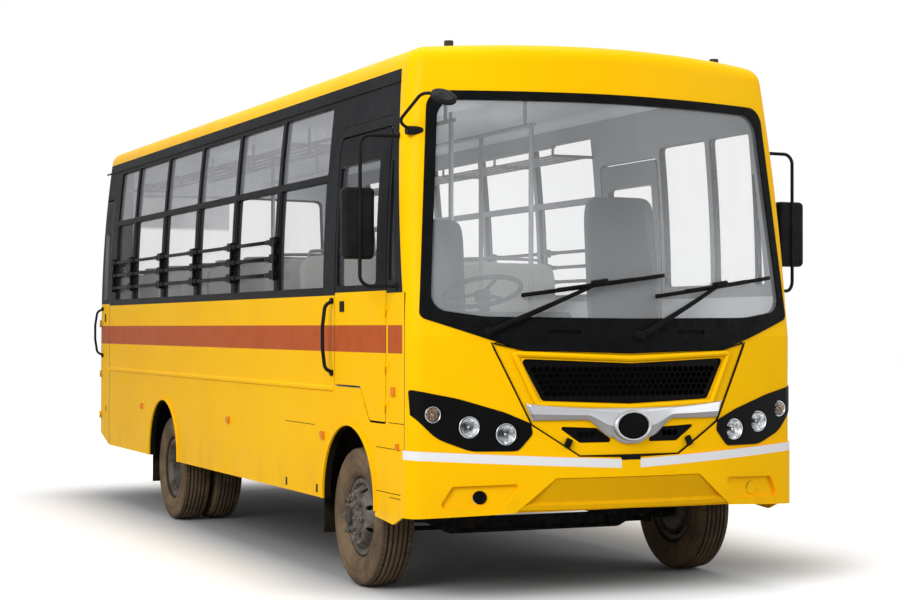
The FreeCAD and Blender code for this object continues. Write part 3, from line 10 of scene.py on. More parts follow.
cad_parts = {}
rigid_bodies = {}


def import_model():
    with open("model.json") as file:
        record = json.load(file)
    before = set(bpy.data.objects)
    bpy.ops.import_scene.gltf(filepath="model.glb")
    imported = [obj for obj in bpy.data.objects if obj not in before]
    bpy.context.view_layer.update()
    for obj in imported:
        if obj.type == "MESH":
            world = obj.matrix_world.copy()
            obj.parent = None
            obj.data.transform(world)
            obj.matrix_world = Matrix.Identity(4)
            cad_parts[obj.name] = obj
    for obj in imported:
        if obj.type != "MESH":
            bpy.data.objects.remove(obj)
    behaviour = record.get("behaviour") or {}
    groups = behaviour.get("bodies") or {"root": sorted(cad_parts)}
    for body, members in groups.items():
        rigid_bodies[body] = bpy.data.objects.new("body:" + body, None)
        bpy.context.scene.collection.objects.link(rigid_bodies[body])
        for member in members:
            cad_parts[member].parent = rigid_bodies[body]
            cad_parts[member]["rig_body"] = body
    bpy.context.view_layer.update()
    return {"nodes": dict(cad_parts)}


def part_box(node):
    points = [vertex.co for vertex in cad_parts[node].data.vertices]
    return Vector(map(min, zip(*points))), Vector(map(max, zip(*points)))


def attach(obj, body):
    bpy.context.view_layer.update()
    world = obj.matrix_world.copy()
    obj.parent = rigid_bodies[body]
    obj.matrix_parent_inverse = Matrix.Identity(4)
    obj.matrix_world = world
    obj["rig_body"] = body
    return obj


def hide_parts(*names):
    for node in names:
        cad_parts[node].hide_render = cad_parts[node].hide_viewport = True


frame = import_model()
NODES = frame["nodes"]

# Places taken from the bus, in metres
HALF = 1.2035
NOSE_Y = -3.8125
NOSE_RADIUS = 3.1
FRONT_AXLE_Y = -2.6125
REAR_AXLE_Y = 1.5035
TAIL_Y = 3.7785
TYRE_RADIUS = 0.403
BELT_Z = 1.686
FLOOR_Z = 1.060
SCREEN_RAKE = math.radians(7.8)
FOOT_Z = 1.450
FRONT_WHEEL_X = 1.0355
REAR_WHEEL_X = 1.022
TAIL_RADIUS = 7.0
SIDE_RADIUS = 9.95
TAIL_RAKE = math.radians(3.0)
TWIN_SPACING = 0.252
WHEEL_NUTS = 0.122
FOG_Z = 0.592
DISC_Z = 0.965
STRIPE_Z = (1.356, 1.510)
DOOR_WINDOW_Z = 1.70
CUSHION_Z = 1.480
SEAT_PITCH = 0.700


def aft(distance):
    """Y of a place this many metres behind the front axle."""
    return FRONT_AXLE_Y + distance


def side_x(z):
    """The body side's distance from the middle at a height: upright to the belt, then leaning in."""
    return HALF - np.maximum(0.0, z - BELT_Z) ** 2 / (2 * SIDE_RADIUS)


def nose_y(x, z=0.0):
    """The bowed nose at x: an arc in plan, raked back above the foot of the screen."""
    arc = NOSE_Y + NOSE_RADIUS - np.sqrt(NOSE_RADIUS ** 2 - x ** 2)
    return arc + math.tan(SCREEN_RAKE) * np.maximum(0.0, z - FOOT_Z)


# Finishes
def shade(hex_colour):
    """Linear colour of an sRGB hex value."""
    parts = [int(hex_colour[i:i + 2], 16) / 255 for i in (0, 2, 4)]
    return tuple(c / 12.92 if c < 0.04045 else ((c + 0.055) / 1.055) ** 2.4 for c in parts) + (1.0,)


class Wires:
    """Helpers that add nodes to a shader tree and wire them up."""

    def __init__(self, tree):
        self.tree = tree

    def feed(self, socket, value):
        """Sets an input socket to a number or a colour, or wires an output to it."""
        value = shade(value) if isinstance(value, str) else value
        if hasattr(value, "links"):
            self.tree.links.new(value, socket)
        else:
            socket.default_value = value

    def node(self, kind, inputs=(), **settings):
        """A new node with its settings, and its inputs set or wired by place or by name."""
        made = self.tree.nodes.new(kind)
        for key, value in settings.items():
            setattr(made, key, value)
        for key, value in (inputs.items() if isinstance(inputs, dict) else enumerate(inputs)):
            self.feed(made.inputs[key], value)
        return made

    def math(self, operation, a, b=0.0, c=0.0):
        """One arithmetic step."""
        return self.node("ShaderNodeMath", (a, b, c), operation=operation).outputs[0]

    def times(self, first, *others):
        """The product of several values."""
        for value in others:
            first = self.math("MULTIPLY", first, value)
        return first

    def without(self, share):
        """What a share leaves of one."""
        return self.math("SUBTRACT", 1.0, share)

    def wave(self, along, pitch):
        """A sine wave along a value, with its pitch in radians a metre."""
        return self.math("SINE", self.times(along, pitch))

    def far(self, value, place=0.0):
        """How far a value lies from a place on its axis."""
        return self.math("ABSOLUTE", self.math("SUBTRACT", value, place) if place else value)

    def reach(self, a, b):
        """The length of a line with two square parts."""
        return self.math("SQRT", self.math("ADD", self.times(a, a), self.times(b, b)))

    def looked(self):
        """One for the camera's rays and those through glass or off gloss, which see the background."""
        path = self.node("ShaderNodeLightPath").outputs
        return self.math("MAXIMUM", path["Is Camera Ray"],
                         self.math("MAXIMUM", path["Is Transmission Ray"], path["Is Glossy Ray"]))

    def ramp(self, value, low, high, start=0.0, end=1.0):
        """A value carried smoothly from one range to another, held at its ends."""
        made = self.node("ShaderNodeMapRange", (value, low, high, start, end), interpolation_type="SMOOTHSTEP")
        return made.outputs[0]

    def between(self, value, low, high):
        """One where the value lies between two limits, zero elsewhere."""
        return self.math("COMPARE", value, (low + high) / 2, (high - low) / 2)

    def blend(self, share, first, second):
        """A mix of two colours."""
        return self.node("ShaderNodeMix", {0: share, 6: first, 7: second}, data_type="RGBA").outputs[2]


class Finish(Wires):
    """A material: its principled shader, and patterns that follow object coordinates."""

    def __init__(self, name, colour, rough=0.5, metal=0.0, gloss=0.5, **sockets):
        self.material = bpy.data.materials.new(name)
        self.material.use_nodes = True
        super().__init__(self.material.node_tree)
        self.shader = self.tree.nodes["Principled BSDF"]
        self.paint(colour)
        self.put("Roughness", rough)
        self.put("Metallic", metal)
        self.put("Specular IOR Level", gloss)
        for socket, value in sockets.items():
            self.put(socket.replace("_", " "), value)
        self.material.diffuse_color = self.shader.inputs["Base Color"].default_value[:]
        self.height = None

    def put(self, socket, value):
        """Sets a shader socket, or wires an output to it."""
        self.feed(self.shader.inputs[socket], value)

    def paint(self, colour):
        """Sets or wires the base colour."""
        self.put("Base Color", colour)

    def place(self, output="Object"):
        """Object coordinates, or the object's own normal."""
        return self.node("ShaderNodeTexCoord").outputs[output]

    def axes(self, output="Object"):
        """X, Y and Z of the place, as three outputs."""
        return self.node("ShaderNodeSeparateXYZ", (self.place(output),)).outputs[:3]

    def noise(self, scale, detail=4.0, rough=0.55, stretch=None):
        """Fractal noise on object coordinates, stretched along an axis when asked."""
        where = self.place()
        if stretch:
            where = self.node("ShaderNodeMapping", {"Vector": where, "Scale": stretch}).outputs[0]
        made = self.node("ShaderNodeTexNoise",
                         {"Vector": where, "Scale": scale, "Detail": detail, "Roughness": rough})
        return made.outputs["Fac"]

    def patches(self, scale, detail, low, high, first, second, rough=0.55):
        """Two colours in soft patches, the second one where the noise is high."""
        return self.blend(self.ramp(self.noise(scale, detail, rough), low, high), first, second)

    def dullness(self, scale, detail, high, glossy, dull):
        """Uneven roughness, from glossy to dull where the noise rises to its high limit."""
        self.put("Roughness", self.ramp(self.noise(scale, detail), 0.3, high, glossy, dull))

    def bump(self, height, strength, distance):
        """Adds a height to the surface's bump."""
        inputs = {"Strength": strength, "Distance": distance, "Height": height}
        if self.height is not None:
            inputs["Normal"] = self.height
        self.height = self.node("ShaderNodeBump", inputs).outputs[0]
        self.put("Normal", self.height)

    def upright(self):
        """One on faces that don't look to a side, such as the cut edges of an opening."""
        return self.math("LESS_THAN", self.far(self.axes("Normal")[0]), 0.6)

    def facing_out(self):
        """One on faces that look away from the cabin, zero on its lining."""
        x, y, z = self.axes()
        nx, ny, nz = self.axes("Normal")
        along = self.math("MULTIPLY_ADD", nx, x, self.times(nz, self.math("SUBTRACT", z, 1.7)))
        ends = self.times(ny, self.times(y, 0.25))
        return self.math("GREATER_THAN", self.math("ADD", along, ends), -0.06)

    def lined(self, outer):
        """Outer colour on the skin, grey on faces that look into the cabin, dark brown on those below: dirt, and
        on the cut edges of the wheel arches painted shade.
        """
        x, y, z = self.axes()
        below = self.math("LESS_THAN", z, 1.075)
        deep = self.math("LESS_THAN", self.far(x), HALF - 0.004)
        within = self.times(self.without(self.facing_out()), self.math("MAXIMUM", self.without(below), deep))
        away = self.math("LESS_THAN", self.far(y), 3.3)
        # Painted shade: the cut edges of the wheel arches take the dark brown, in place of the shade inside a
        # thin-sheet arch.
        reveal = self.times(self.upright(), deep, below, away)
        inside = self.blend(below, "bfc2c6", self.patches(9.0, 6.0, 0.35, 0.7, "15130f", "231e18"))
        return self.blend(self.math("MAXIMUM", within, reveal), outer, inside)


YELLOW = "fabc02"


def yellow_coat(f):
    """Chrome yellow in two close tones, in wide soft patches."""
    return f.patches(1.3, 3.0, 0.3, 0.7, YELLOW, "fcc205")


def worn_stripe(f):
    """The belt stripe's rust red, worn in patches."""
    return f.patches(9.0, 5.0, 0.45, 0.75, "b3562a", "ab4f25")


def charcoal(f):
    """The window band's dark coat in two close tones."""
    return f.patches(2.0, 3.0, 0.35, 0.7, "18191b", "1f2022")


def road_dust(f, colour, stretch=None):
    """A colour under thin dust that thickens towards the skirt's foot."""
    low = f.ramp(f.axes()[2], 0.47, 0.80, 0.30, 0.0)
    dust = f.times(low, f.ramp(f.noise(4.0, 8.0, 0.65, stretch), 0.42, 0.75))
    return f.blend(dust, colour, "c08d20")


def orange_peel(f, dullest):
    """The gloss of a sprayed coat, a little uneven, with a fine orange peel."""
    f.dullness(6.0, 5.0, 0.8, 0.32, dullest)
    f.bump(f.noise(260.0, 2.0), 0.05, 0.0006)


def body_paint(name, stripe=False, tape=False, cabin=True, painted_shade=0.0):
    """Yellow coat with the belt stripe or the bumper's tape, grey in the cabin; the last argument is a share of
    painted shade, a darker orange-yellow over the whole coat.
    """
    f = Finish(name, YELLOW, 0.36, gloss=0.012 if stripe else 0.03)
    x, y, z = f.axes()
    colour = yellow_coat(f)
    if stripe:
        gap = f.between(y, aft(-0.640), aft(-0.590))
        front = f.math("GREATER_THAN", y, aft(-0.85))
        colour = f.blend(f.times(f.between(z, *STRIPE_Z), front, f.without(gap)), colour, worn_stripe(f))
    if tape:
        level = f.math("SUBTRACT", z, f.times(f.far(x), 0.0475))
        strip = f.times(f.between(level, 0.7345, 0.7830), f.without(f.between(x, -0.063, 0.054)),
                        f.math("LESS_THAN", y, aft(-0.884)), f.math("LESS_THAN", f.axes("Normal")[2], 0.5))
        colour = f.blend(strip, colour, "e4e4e6")
    colour = road_dust(f, colour, (1.0, 1.0, 0.5))
    # Painted shade: the whole coat is darkened towards orange-brown, for the bumper's recess.
    if painted_shade:
        colour = f.blend(painted_shade, colour, "a5700a")
    f.paint(f.lined(colour) if cabin else colour)
    orange_peel(f, 0.42)
    return f.material


def door_paint(name):
    """A door's skin: striped yellow below its window, charcoal round it, grey where it faces the cabin."""
    f = Finish(name, YELLOW, 0.36, gloss=0.012)
    z = f.axes()[2]
    tone = road_dust(f, f.blend(f.between(z, *STRIPE_Z), yellow_coat(f), worn_stripe(f)))
    tone = f.blend(f.math("GREATER_THAN", z, DOOR_WINDOW_Z), tone, charcoal(f))
    f.paint(f.blend(f.facing_out(), "6d6f70", tone))
    orange_peel(f, 0.45)
    return f.material


def dark_paint(name):
    """Charcoal coach paint on the window band, greyer within the cabin."""
    f = Finish(name, "18191b", 0.5, gloss=0.03)
    f.paint(f.blend(f.math("MAXIMUM", f.upright(), f.facing_out()), "85878a", charcoal(f)))
    f.dullness(14.0, 6.0, 0.75, 0.47, 0.54)
    f.bump(f.noise(320.0, 2.0), 0.06, 0.0005)
    return f.material


def axle_reach(f):
    """Distance of a place from the nearer axle's middle line, seen from the side."""
    y, z = f.axes()[1:]
    y = f.math("MINIMUM", f.far(y, FRONT_AXLE_Y), f.far(y, REAR_AXLE_Y))
    return f.reach(y, f.math("SUBTRACT", z, TYRE_RADIUS))


def steel(name, colour, second, rough=0.55, metal=0.4, scale=24.0, grime=None, greasy=False):
    """Painted or bare steel, mottled and grainy, with grime; greasy round the axle on a wheel."""
    f = Finish(name, colour, rough, metal, gloss=0.15)
    tone = f.patches(scale, 7.0, 0.38, 0.66, colour, second, 0.62)
    if grime:
        tone = f.blend(f.ramp(f.noise(scale * 0.4, 9.0, 0.7), 0.46, 0.62, 0.0, 0.85), tone, grime)
    if greasy:
        reach = axle_reach(f)
        tone = f.blend(f.ramp(reach, 0.045, 0.075, 0.75, 0.0), tone, "1f1814")
        tone = f.blend(f.ramp(reach, 0.150, 0.205, 0.0, 0.35), tone, "2e2822")
    f.paint(tone)
    f.dullness(scale * 1.7, 5.0, 0.7, rough - 0.12, min(1.0, rough + 0.18))
    f.bump(f.noise(scale * 9, 4.0), 0.25, 0.0008)
    return f.material


def moulded(name, colour, second, rough=0.5, grain=420.0, depth=0.35):
    """Moulded plastic or rubber with a fine pebbled grain."""
    f = Finish(name, colour, rough, gloss=0.05)
    f.paint(f.patches(11.0, 6.0, 0.35, 0.7, colour, second))
    cells = f.node("ShaderNodeTexVoronoi", {"Vector": f.place(), "Scale": grain}).outputs["Distance"]
    f.bump(cells, depth, 0.0006)
    f.dullness(30.0, 4.0, 0.7, rough - 0.08, rough + 0.12)
    return f.material


def pane(name, colour, haze, levels):
    """Mostly clear glazing under a pale veil, painted reflection in place of the glare off the glass, from the
    low to the high share of haze between two levels; a veil that thickens upwards lies over the last bays of the
    right side only."""
    low, high = haze
    f = Finish(name, colour, 0.04, Alpha=low, IOR=1.5, gloss=0.5)
    x, y, z = f.axes()
    # Painted reflection: the veil's share of pale glass colour stands in for the glare off the glass.
    veil = f.ramp(z, *levels, low, high)
    if high > low:
        bays = f.times(f.math("GREATER_THAN", y, aft(0.36)), f.math("LESS_THAN", x, 0.0))
        veil = f.math("MAXIMUM", low, f.times(veil, bays))
    streak = f.ramp(f.noise(2.2, 6.0, 0.6, (1.0, 1.0, 0.35)), 0.3, 0.75, 0.9, 1.2)
    f.put("Alpha", f.times(veil, streak))
    f.material.surface_render_method = "BLENDED"
    return f.material


def woven(name, colour, second):
    """Woven seat cloth: two crossed thread waves, a soft sheen and small stains."""
    f = Finish(name, colour, 0.85, Sheen_Weight=0.06, Sheen_Roughness=0.5, gloss=0.2)
    x, y, z = f.axes()
    cloth = f.times(f.wave(x, 900.0), f.wave(f.math("ADD", y, z), 900.0))
    tone = f.blend(f.ramp(cloth, -0.6, 0.6), colour, second)
    f.paint(f.blend(f.ramp(f.noise(7.0, 7.0), 0.5, 0.75, 0.0, 0.4), tone, second))
    f.bump(cloth, 0.35, 0.0006)
    return f.material


def dusty_rubber_painted_shade(name):
    """Tyre rubber under pale brown dust, with painted shade: darker towards the tread and near black deep in the
    grooves.
    """
    f = Finish(name, "3b332c", 0.9, gloss=0.1)
    worn = f.ramp(f.noise(60.0, 5.0, 0.6), 0.45, 0.7, 0.0, 0.35)
    tone = f.blend(worn, f.patches(5.0, 7.0, 0.34, 0.70, "54473a", "79664f", 0.6), "6a5b49")
    outer = f.far(f.axes()[0])
    across = f.math("MINIMUM", f.far(outer, 1.029), f.far(outer, REAR_WHEEL_X - TWIN_SPACING))
    reach = axle_reach(f)
    # Painted shade: the shoulder and tread are darkened.
    tone = f.blend(f.ramp(reach, 0.375, 0.392, 0.0, 0.28), tone, "2a221b")
    # Painted shade: near black deeper in the tread's grooves.
    groove = f.times(f.math("LESS_THAN", across, 0.079), f.ramp(reach, 0.388, 0.3975, 0.75, 0.0))
    f.paint(f.blend(groove, tone, "14100c"))
    f.bump(f.noise(190.0, 6.0, 0.7), 0.3, 0.0010)
    return f.material


def lamp_glass(name, colour, haze):
    """A clear or tinted lens with faint moulded flutes."""
    f = Finish(name, colour, 0.06, Alpha=haze, Coat_Weight=0.35, Coat_Roughness=0.03)
    flutes = f.wave(f.axes()[0], 420.0)
    f.bump(flutes, 0.06, 0.0005)
    f.put("Alpha", f.ramp(flutes, -1.0, 1.0, haze * 0.6, haze * 1.4))
    f.material.surface_render_method = "BLENDED"
    return f.material


def lens(name, colour, second, tail=False):
    """A coloured lens with a grid of prisms, smoked on the roof; a tail lamp is red, clear and amber."""
    f = Finish(name, colour, 0.35, gloss=0.04)
    x, y, z = f.axes()
    grid = f.times(f.wave(f.math("ADD", x, y), 700.0), f.wave(z, 700.0))
    on_roof = f.math("GREATER_THAN", z, 2.9)
    tone = f.blend(on_roof, f.blend(f.ramp(grid, -0.7, 0.7), colour, second), "3b3833")
    if tail:
        tone = f.blend(f.math("LESS_THAN", z, 0.955), tone, "d8d8d2")
        tone = f.blend(f.math("LESS_THAN", z, 0.870), tone, "d9701a")
    f.paint(tone)
    f.bump(grid, 0.3, 0.001)
    return f.material


def mirror_bright(name, colour, rough, second="b9bcc0", patch=16.0):
    """Plated reflector metal, slightly clouded."""
    f = Finish(name, colour, rough, 1.0)
    f.dullness(40.0, 4.0, 0.7, rough * 0.7, rough * 1.8)
    f.paint(f.patches(patch, 3.0, 0.42, 0.6, colour, second))
    return f.material


def silver_paint(name):
    """Fine metallic silver for the winged strip, with painted shade: darker on faces that look down."""
    f = Finish(name, "b9bbbf", 0.33, 0.55, Coat_Weight=0.3, Coat_Roughness=0.15)
    flake = f.patches(900.0, 2.0, 0.4, 0.6, "a8aaae", "c0c2c5")
    # Painted shade: faces that look down are darkened towards grey-brown.
    under = f.ramp(f.axes("Normal")[2], -0.35, 0.0, 0.75, 0.0)
    f.paint(f.blend(under, flake, "6f6c68"))
    f.put("Roughness", f.ramp(f.axes()[2], 0.95, 1.08, 0.42, 0.28))
    f.bump(f.noise(300.0, 2.0), 0.08, 0.0005)
    return f.material


PAINT = body_paint("bus_yellow")
NOSE = body_paint("bus_yellow_nose", cabin=False)
# The bumper recess's yellow, darkened all over by painted shade.
WELL = body_paint("bus_yellow_well_painted_shade", cabin=False, painted_shade=0.45)
BAND = dark_paint("window_band_charcoal")
CHASSIS = steel("chassis_black", "080808", "11100f", 0.7, 0.1, 18.0, "1f1b16")
WHEEL = steel("wheel_grey", "645f59", "78726a", 0.62, 0.2, 22.0, "463d34", greasy=True)
TRIM = moulded("black_trim", "161718", "1e1f20", 0.5)
BLACK = moulded("bar_black", "090a0b", "121313", 0.5, 300.0, 0.2)
GAP_BLACK = moulded("seam_shadow", "1d1605", "2a2009", 0.8, 200.0, 0.1)
HOUSING = moulded("housing_black", "050506", "0a0a0b", 0.40, 300.0, 0.3)
RUBBER = moulded("seal_rubber", "08090a", "0e0f10", 0.62, 500.0, 0.3)
SILVER = silver_paint("winged_silver")
CREAM = steel("rail_grey", "777879", "696a6b", 0.4, 0.1, 16.0)
TYRE = dusty_rubber_painted_shade("tyre_dust_and_painted_shade")
CLOTH = woven("seat_cloth", "202327", "2b2f34")
PALE_CLOTH = woven("seat_back_grey", "8f8f8c", "9b9b97")
BRIGHT = mirror_bright("lamp_reflector", "f6f7f8", 0.26, "a6a9ad", 46.0)
GLASS_BRIGHT = mirror_bright("mirror_glass", "c9cdd1", 0.04)
LENS_CLEAR = lamp_glass("lamp_lens_clear", "e8ecef", 0.04)
LENS_SMOKED = lamp_glass("lamp_lens_smoked", "8a6a4c", 0.55)
AMBER = lens("marker_amber", "d8720c", "e58a1c")
REFLECTOR_RED = lens("reflector_red", "9a1010", "b81818")
RING_BRIGHT = mirror_bright("lamp_ring", "a9abad", 0.22)

LOOKS = (
    (PAINT, "front_cap roof rear_panel"),
    (NOSE, "grille_panel"),
    (body_paint("bus_yellow_striped", stripe=True), "side_panel_right side_panel_left"),
    (body_paint("bus_yellow_taped", tape=True, cabin=False), "bumper"),
    (door_paint("door_skin"), "driver_door passenger_door emergency_door"),
    (BAND, "window_frame_right window_frame_left"),
    (BLACK, "guard_bars"),
    (CHASSIS, "chassis_frame floor_bearers front_axle rear_axle leaf_springs rear_bumper tie_rod knuckle_right"
              " knuckle_left fuel_tank"),
    (steel("cast_grey", "3a3a3a", "4a4947", 0.7, 0.5, 30.0, "2a2622"), "engine_block"),
    (moulded("floor_mat", "5a5b5c", "6a6b6b", 0.7, 160.0, 0.5), "floor entry_steps"),
    (TRIM, "engine_cover mirrors wipers dashboard steering_wheel grab_handles emergency_handle"),
    (moulded("flap_rubber", "1b1611", "2b231a", 0.75, 160.0, 0.3), "mud_flaps"),
    (RUBBER, "windscreen_surround"),
    (HOUSING, "lamp_housings"),
    (moulded("grille_black", "040405", "080809", 0.45), "grille"),
    (SILVER, "wing_bar"),
    (CREAM, "handrails luggage_racks"),
    (pane("screen_glass", "f4f7fa", (0.13, 0.075), (1.75, 2.45)), "windscreen"),
    (pane("side_glass", "909296", (0.10, 0.44), (2.37, 2.41)),
     "side_glass rear_glass driver_door_glass passenger_door_glass emergency_door_glass"),
    (WHEEL, "front_rim_right front_rim_left rear_rims_right rear_rims_left"),
    (TYRE, "front_tyre_right front_tyre_left rear_tyres_right rear_tyres_left"),
    (CLOTH, "passenger_seats driver_seat"),
    (BRIGHT, "front_lamps"),
    (lens("tail_red", "8e0d0d", "b01515", tail=True), "tail_lamps"),
    (AMBER, "marker_lamps"),
)
for material, nodes in LOOKS:
    for node in nodes.split():
        slots = NODES[node].data.materials
        slots.clear()
        slots.append(material)


# Surfaces
def surface(name, points, material, body="bus_body", wrap="v", smooth=True):
    """A mesh from one grid of points, shaped (rows, columns, 3), or a list of them; wrap says which way a grid
    closes on itself: u from its last row to its first, v from its last column."""
    verts, quads, start = [], [], 0
    for grid in points if isinstance(points, list) else [points]:
        rows, cols = grid.shape[:2]
        u = np.arange(rows if "u" in wrap else rows - 1)
        v = np.arange(cols if "v" in wrap else cols - 1)
        i, j = np.meshgrid(u, v, indexing="ij")
        i2, j2 = (i + 1) % rows, (j + 1) % cols
        face = np.stack([i * cols + j, i2 * cols + j, i2 * cols + j2, i * cols + j2], -1)
        quads.append(face.reshape(-1, 4) + start)
        verts.append(grid.reshape(-1, 3))
        start += rows * cols
    verts, quads = np.concatenate(verts), np.concatenate(quads)
    mesh = bpy.data.meshes.new(name)
    mesh.vertices.add(len(verts))
    mesh.vertices.foreach_set("co", verts.astype(np.float32).ravel())
    mesh.loops.add(len(quads) * 4)
    mesh.loops.foreach_set("vertex_index", quads.ravel().astype(np.int32))
    mesh.polygons.add(len(quads))
    mesh.polygons.foreach_set("loop_start", np.arange(0, len(quads) * 4, 4, dtype=np.int32))
    mesh.polygons.foreach_set("use_smooth", np.full(len(quads), smooth))
    mesh.update(calc_edges=True)
    mesh.validate()
    tidy(mesh)
    mesh.materials.append(material)
    made = bpy.data.objects.new(name, mesh)
    bpy.context.scene.collection.objects.link(made)
    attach(made, body)
    return made


def sharp(name, parts, material=BLACK, body="bus_body"):
    """A piece with sharp edges, from grids whose rows run round it."""
    return surface(name, parts, material, body, "u", False)


def tidy(mesh):
    """Merges the doubles of closed poles and turns every face outwards."""
    work = bmesh.new()
    work.from_mesh(mesh)
    bmesh.ops.remove_doubles(work, verts=work.verts, dist=1e-6)
    bmesh.ops.dissolve_degenerate(work, edges=work.edges, dist=1e-7)
    bmesh.ops.recalc_face_normals(work, faces=work.faces)
    work.to_mesh(mesh)
    work.free()


def placed(x, y, z):
    """Points from three arrays, each spread to the shape of all three."""
    return np.stack(np.broadcast_arrays(x, y, z), -1)


def turns(count):
    """Equal angles once round a circle."""
    return np.linspace(0, 2 * math.pi, count, endpoint=False)


def turned(angle, axis):
    """The matrix of a turn about an axis, to be used on rows of points."""
    return np.array(Matrix.Rotation(angle, 3, axis)).T


def unit(vectors):
    """Vectors brought to a length of one."""
    return vectors / np.linalg.norm(vectors, axis=-1, keepdims=True)


def circle(around, side, up):
    """A circle of points, or one for each row, between two directions."""
    turn = turns(around)[:, None]
    return np.cos(turn) * side[..., None, :] + np.sin(turn) * up[..., None, :]


def revolve(profile, centre, axis, around=48):
    """A profile of (distance along the axis, radius) turned about the axis through a centre."""
    axis = unit(np.asarray(axis, float))
    side = unit(np.cross((0.0, 0.0, 1.0), axis))
    along, radius = np.asarray(profile, float).T[:, :, None, None]
    return np.asarray(centre) + along * axis + radius * circle(around, side, np.cross(axis, side))


def tube(path, radius, around=12, reference=(0.0, 0.0, 1.0)):
    """A round tube along a path of points: rings square to the path's tangents, closed at both ends."""
    path = np.asarray(path, float)
    tangent = unit(np.gradient(path, axis=0))
    side = unit(np.cross(reference, tangent))
    rings = path[:, None] + radius * circle(around, side, np.cross(tangent, side))
    first, last = (np.broadcast_to(path[end], rings[:1].shape) for end in (0, -1))
    return np.concatenate([first, rings, last])


def capped(grid):
    """Closes a grid's two open ends: each end ring is followed by a ring drawn in to its own middle."""
    first, last = (np.broadcast_to(end.mean(0, keepdims=True), end.shape) for end in (grid[:, :1], grid[:, -1:]))
    return np.concatenate([first, grid, last], 1)


def slab(centre, size, turn=0.0, axis="X", edge=0.003):
    """A box with chamfered edges, turned about an axis through its centre, as one closed grid of rings."""
    w, d, h = np.asarray(size, float) / 2
    e = min(edge, w * 0.9, d * 0.9, h * 0.9)
    ring = np.array([(w - e, -d), (w, -d + e), (w, d - e), (w - e, d),
                     (-w + e, d), (-w, d - e), (-w, -d + e), (-w + e, -d)])
    inner = ring * np.array([(w - e) / w, (d - e) / d])
    rows = [(0 * ring, -h), (inner, -h), (ring, -h + e), (ring, h - e), (inner, h), (0 * ring, h)]
    grid = np.stack([np.column_stack([xy, np.full(8, z)]) for xy, z in rows])
    return grid @ turned(turn, axis) + np.asarray(centre)


def eased(points, count=40):
    """A smooth path through a few points: Catmull-Rom blending, evaluated as one array."""
    p = np.asarray(points, float)
    p = np.concatenate([2 * p[:1] - p[1:2], p, 2 * p[-1:] - p[-2:-1]])
    t = np.linspace(0, len(p) - 3 - 1e-9, count)
    i = t.astype(int)
    f = (t - i)[:, None]
    a, b, c, d = p[i], p[i + 1], p[i + 2], p[i + 3]
    return 0.5 * (2 * b + (c - a) * f + (2 * a - 5 * b + 4 * c - d) * f ** 2 + (3 * b - a - 3 * c + d) * f ** 3)


def cushion(size, crown):
    """A superellipsoid of the given size, its top swelled by a crown and marked by five sewn channels that run
    front to back."""
    a = np.linspace(-math.pi / 2, math.pi / 2, 28)[:, None]
    b = np.linspace(-math.pi, math.pi, 40, endpoint=False)[None, :]

    def shaped(wave):
        return np.sign(wave) * np.abs(wave) ** (2 / 7.0)

    x = shaped(np.cos(a)) * shaped(np.cos(b))
    y = shaped(np.cos(a)) * shaped(np.sin(b))
    z = shaped(np.sin(a)) * np.ones_like(b)
    swell = crown * np.clip(1 - x ** 2, 0, 1) * np.clip(1 - y ** 2, 0, 1) * np.clip(z, 0, 1)
    groove = 0.06 * np.abs(np.cos(x * math.pi * 5 / 2)) ** 8 * np.clip(z, 0, 1) ** 2
    return np.stack([x, y, z * (1 - groove) + swell], -1) * np.array(size) / 2


# Tyres with ribs, zigzag grooves and sidewall rings
SIDEWALL = [(0.0, 0.2043), (0.058, 0.2043), (0.062, 0.212), (0.062, 0.228), (0.074, 0.236), (0.0925, 0.246),
            (0.1010, 0.270), (0.1060, 0.292), (0.1062, 0.296), (0.1086, 0.298), (0.1088, 0.304), (0.1070, 0.307),
            (0.1066, 0.330), (0.1052, 0.345), (0.1070, 0.349), (0.1060, 0.356), (0.1030, 0.372), (0.0990, 0.382),
            (0.0940, 0.389), (0.0880, 0.3945)]
GROOVES = ((0.0, 0.0050, 0.0015), (0.030, 0.0050, 0.0015), (-0.030, 0.0050, 0.0015), (0.058, 0.0052, 0.0),
           (-0.058, 0.0052, 0.0))
TREAD_EDGE = 0.0845
ZIGZAGS, SIPES = 44, 66
SIDES = ((-1, "right"), (1, "left"))


def tyre_surface(x, y):
    """A tyre from bead to crowned tread; zigzag grooves run round it and sipes cut the ribs."""
    tread = np.linspace(TREAD_EDGE, 0.0, 30)
    outer = np.concatenate([SIDEWALL, np.stack([tread, TYRE_RADIUS - 0.0095 * (tread / TREAD_EDGE) ** 2.4], -1)])
    along, radius = np.concatenate([outer, outer[::-1][1:] * [-1, 1]]).T[:, :, None]
    turn = turns(300)
    wave = np.abs((turn * ZIGZAGS / (2 * math.pi)) % 1.0 - 0.5) * 2 - 0.5
    depth = 0.0
    for place, width, swing in GROOVES:
        gap = np.abs(along - place - swing * wave)
        depth = np.maximum(depth, 0.0115 * np.clip(1.5 - gap / width, 0, 1))
    sipe = ((turn * SIPES / (2 * math.pi)) % 1.0 < 0.22) & (np.abs(along) > 0.066)
    depth = np.maximum(depth, np.where(sipe, 0.004, 0.0))
    radius = radius - depth * (np.abs(along) < TREAD_EDGE + 0.0001)
    return placed(along + x, y + radius * np.cos(turn), TYRE_RADIUS + radius * np.sin(turn))


for side, name in SIDES:
    front = surface("tyre_front_" + name, tyre_surface(side * FRONT_WHEEL_X, FRONT_AXLE_Y), TYRE,
                    "front_wheel_" + name, "uv")
    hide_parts("front_tyre_" + name)
    twins = [tyre_surface(side * x, REAR_AXLE_Y) for x in (REAR_WHEEL_X, REAR_WHEEL_X - TWIN_SPACING)]
    rear = surface("tyres_rear_" + name, twins, TYRE, "rear_wheels_" + name, "uv")
    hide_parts("rear_tyres_" + name)


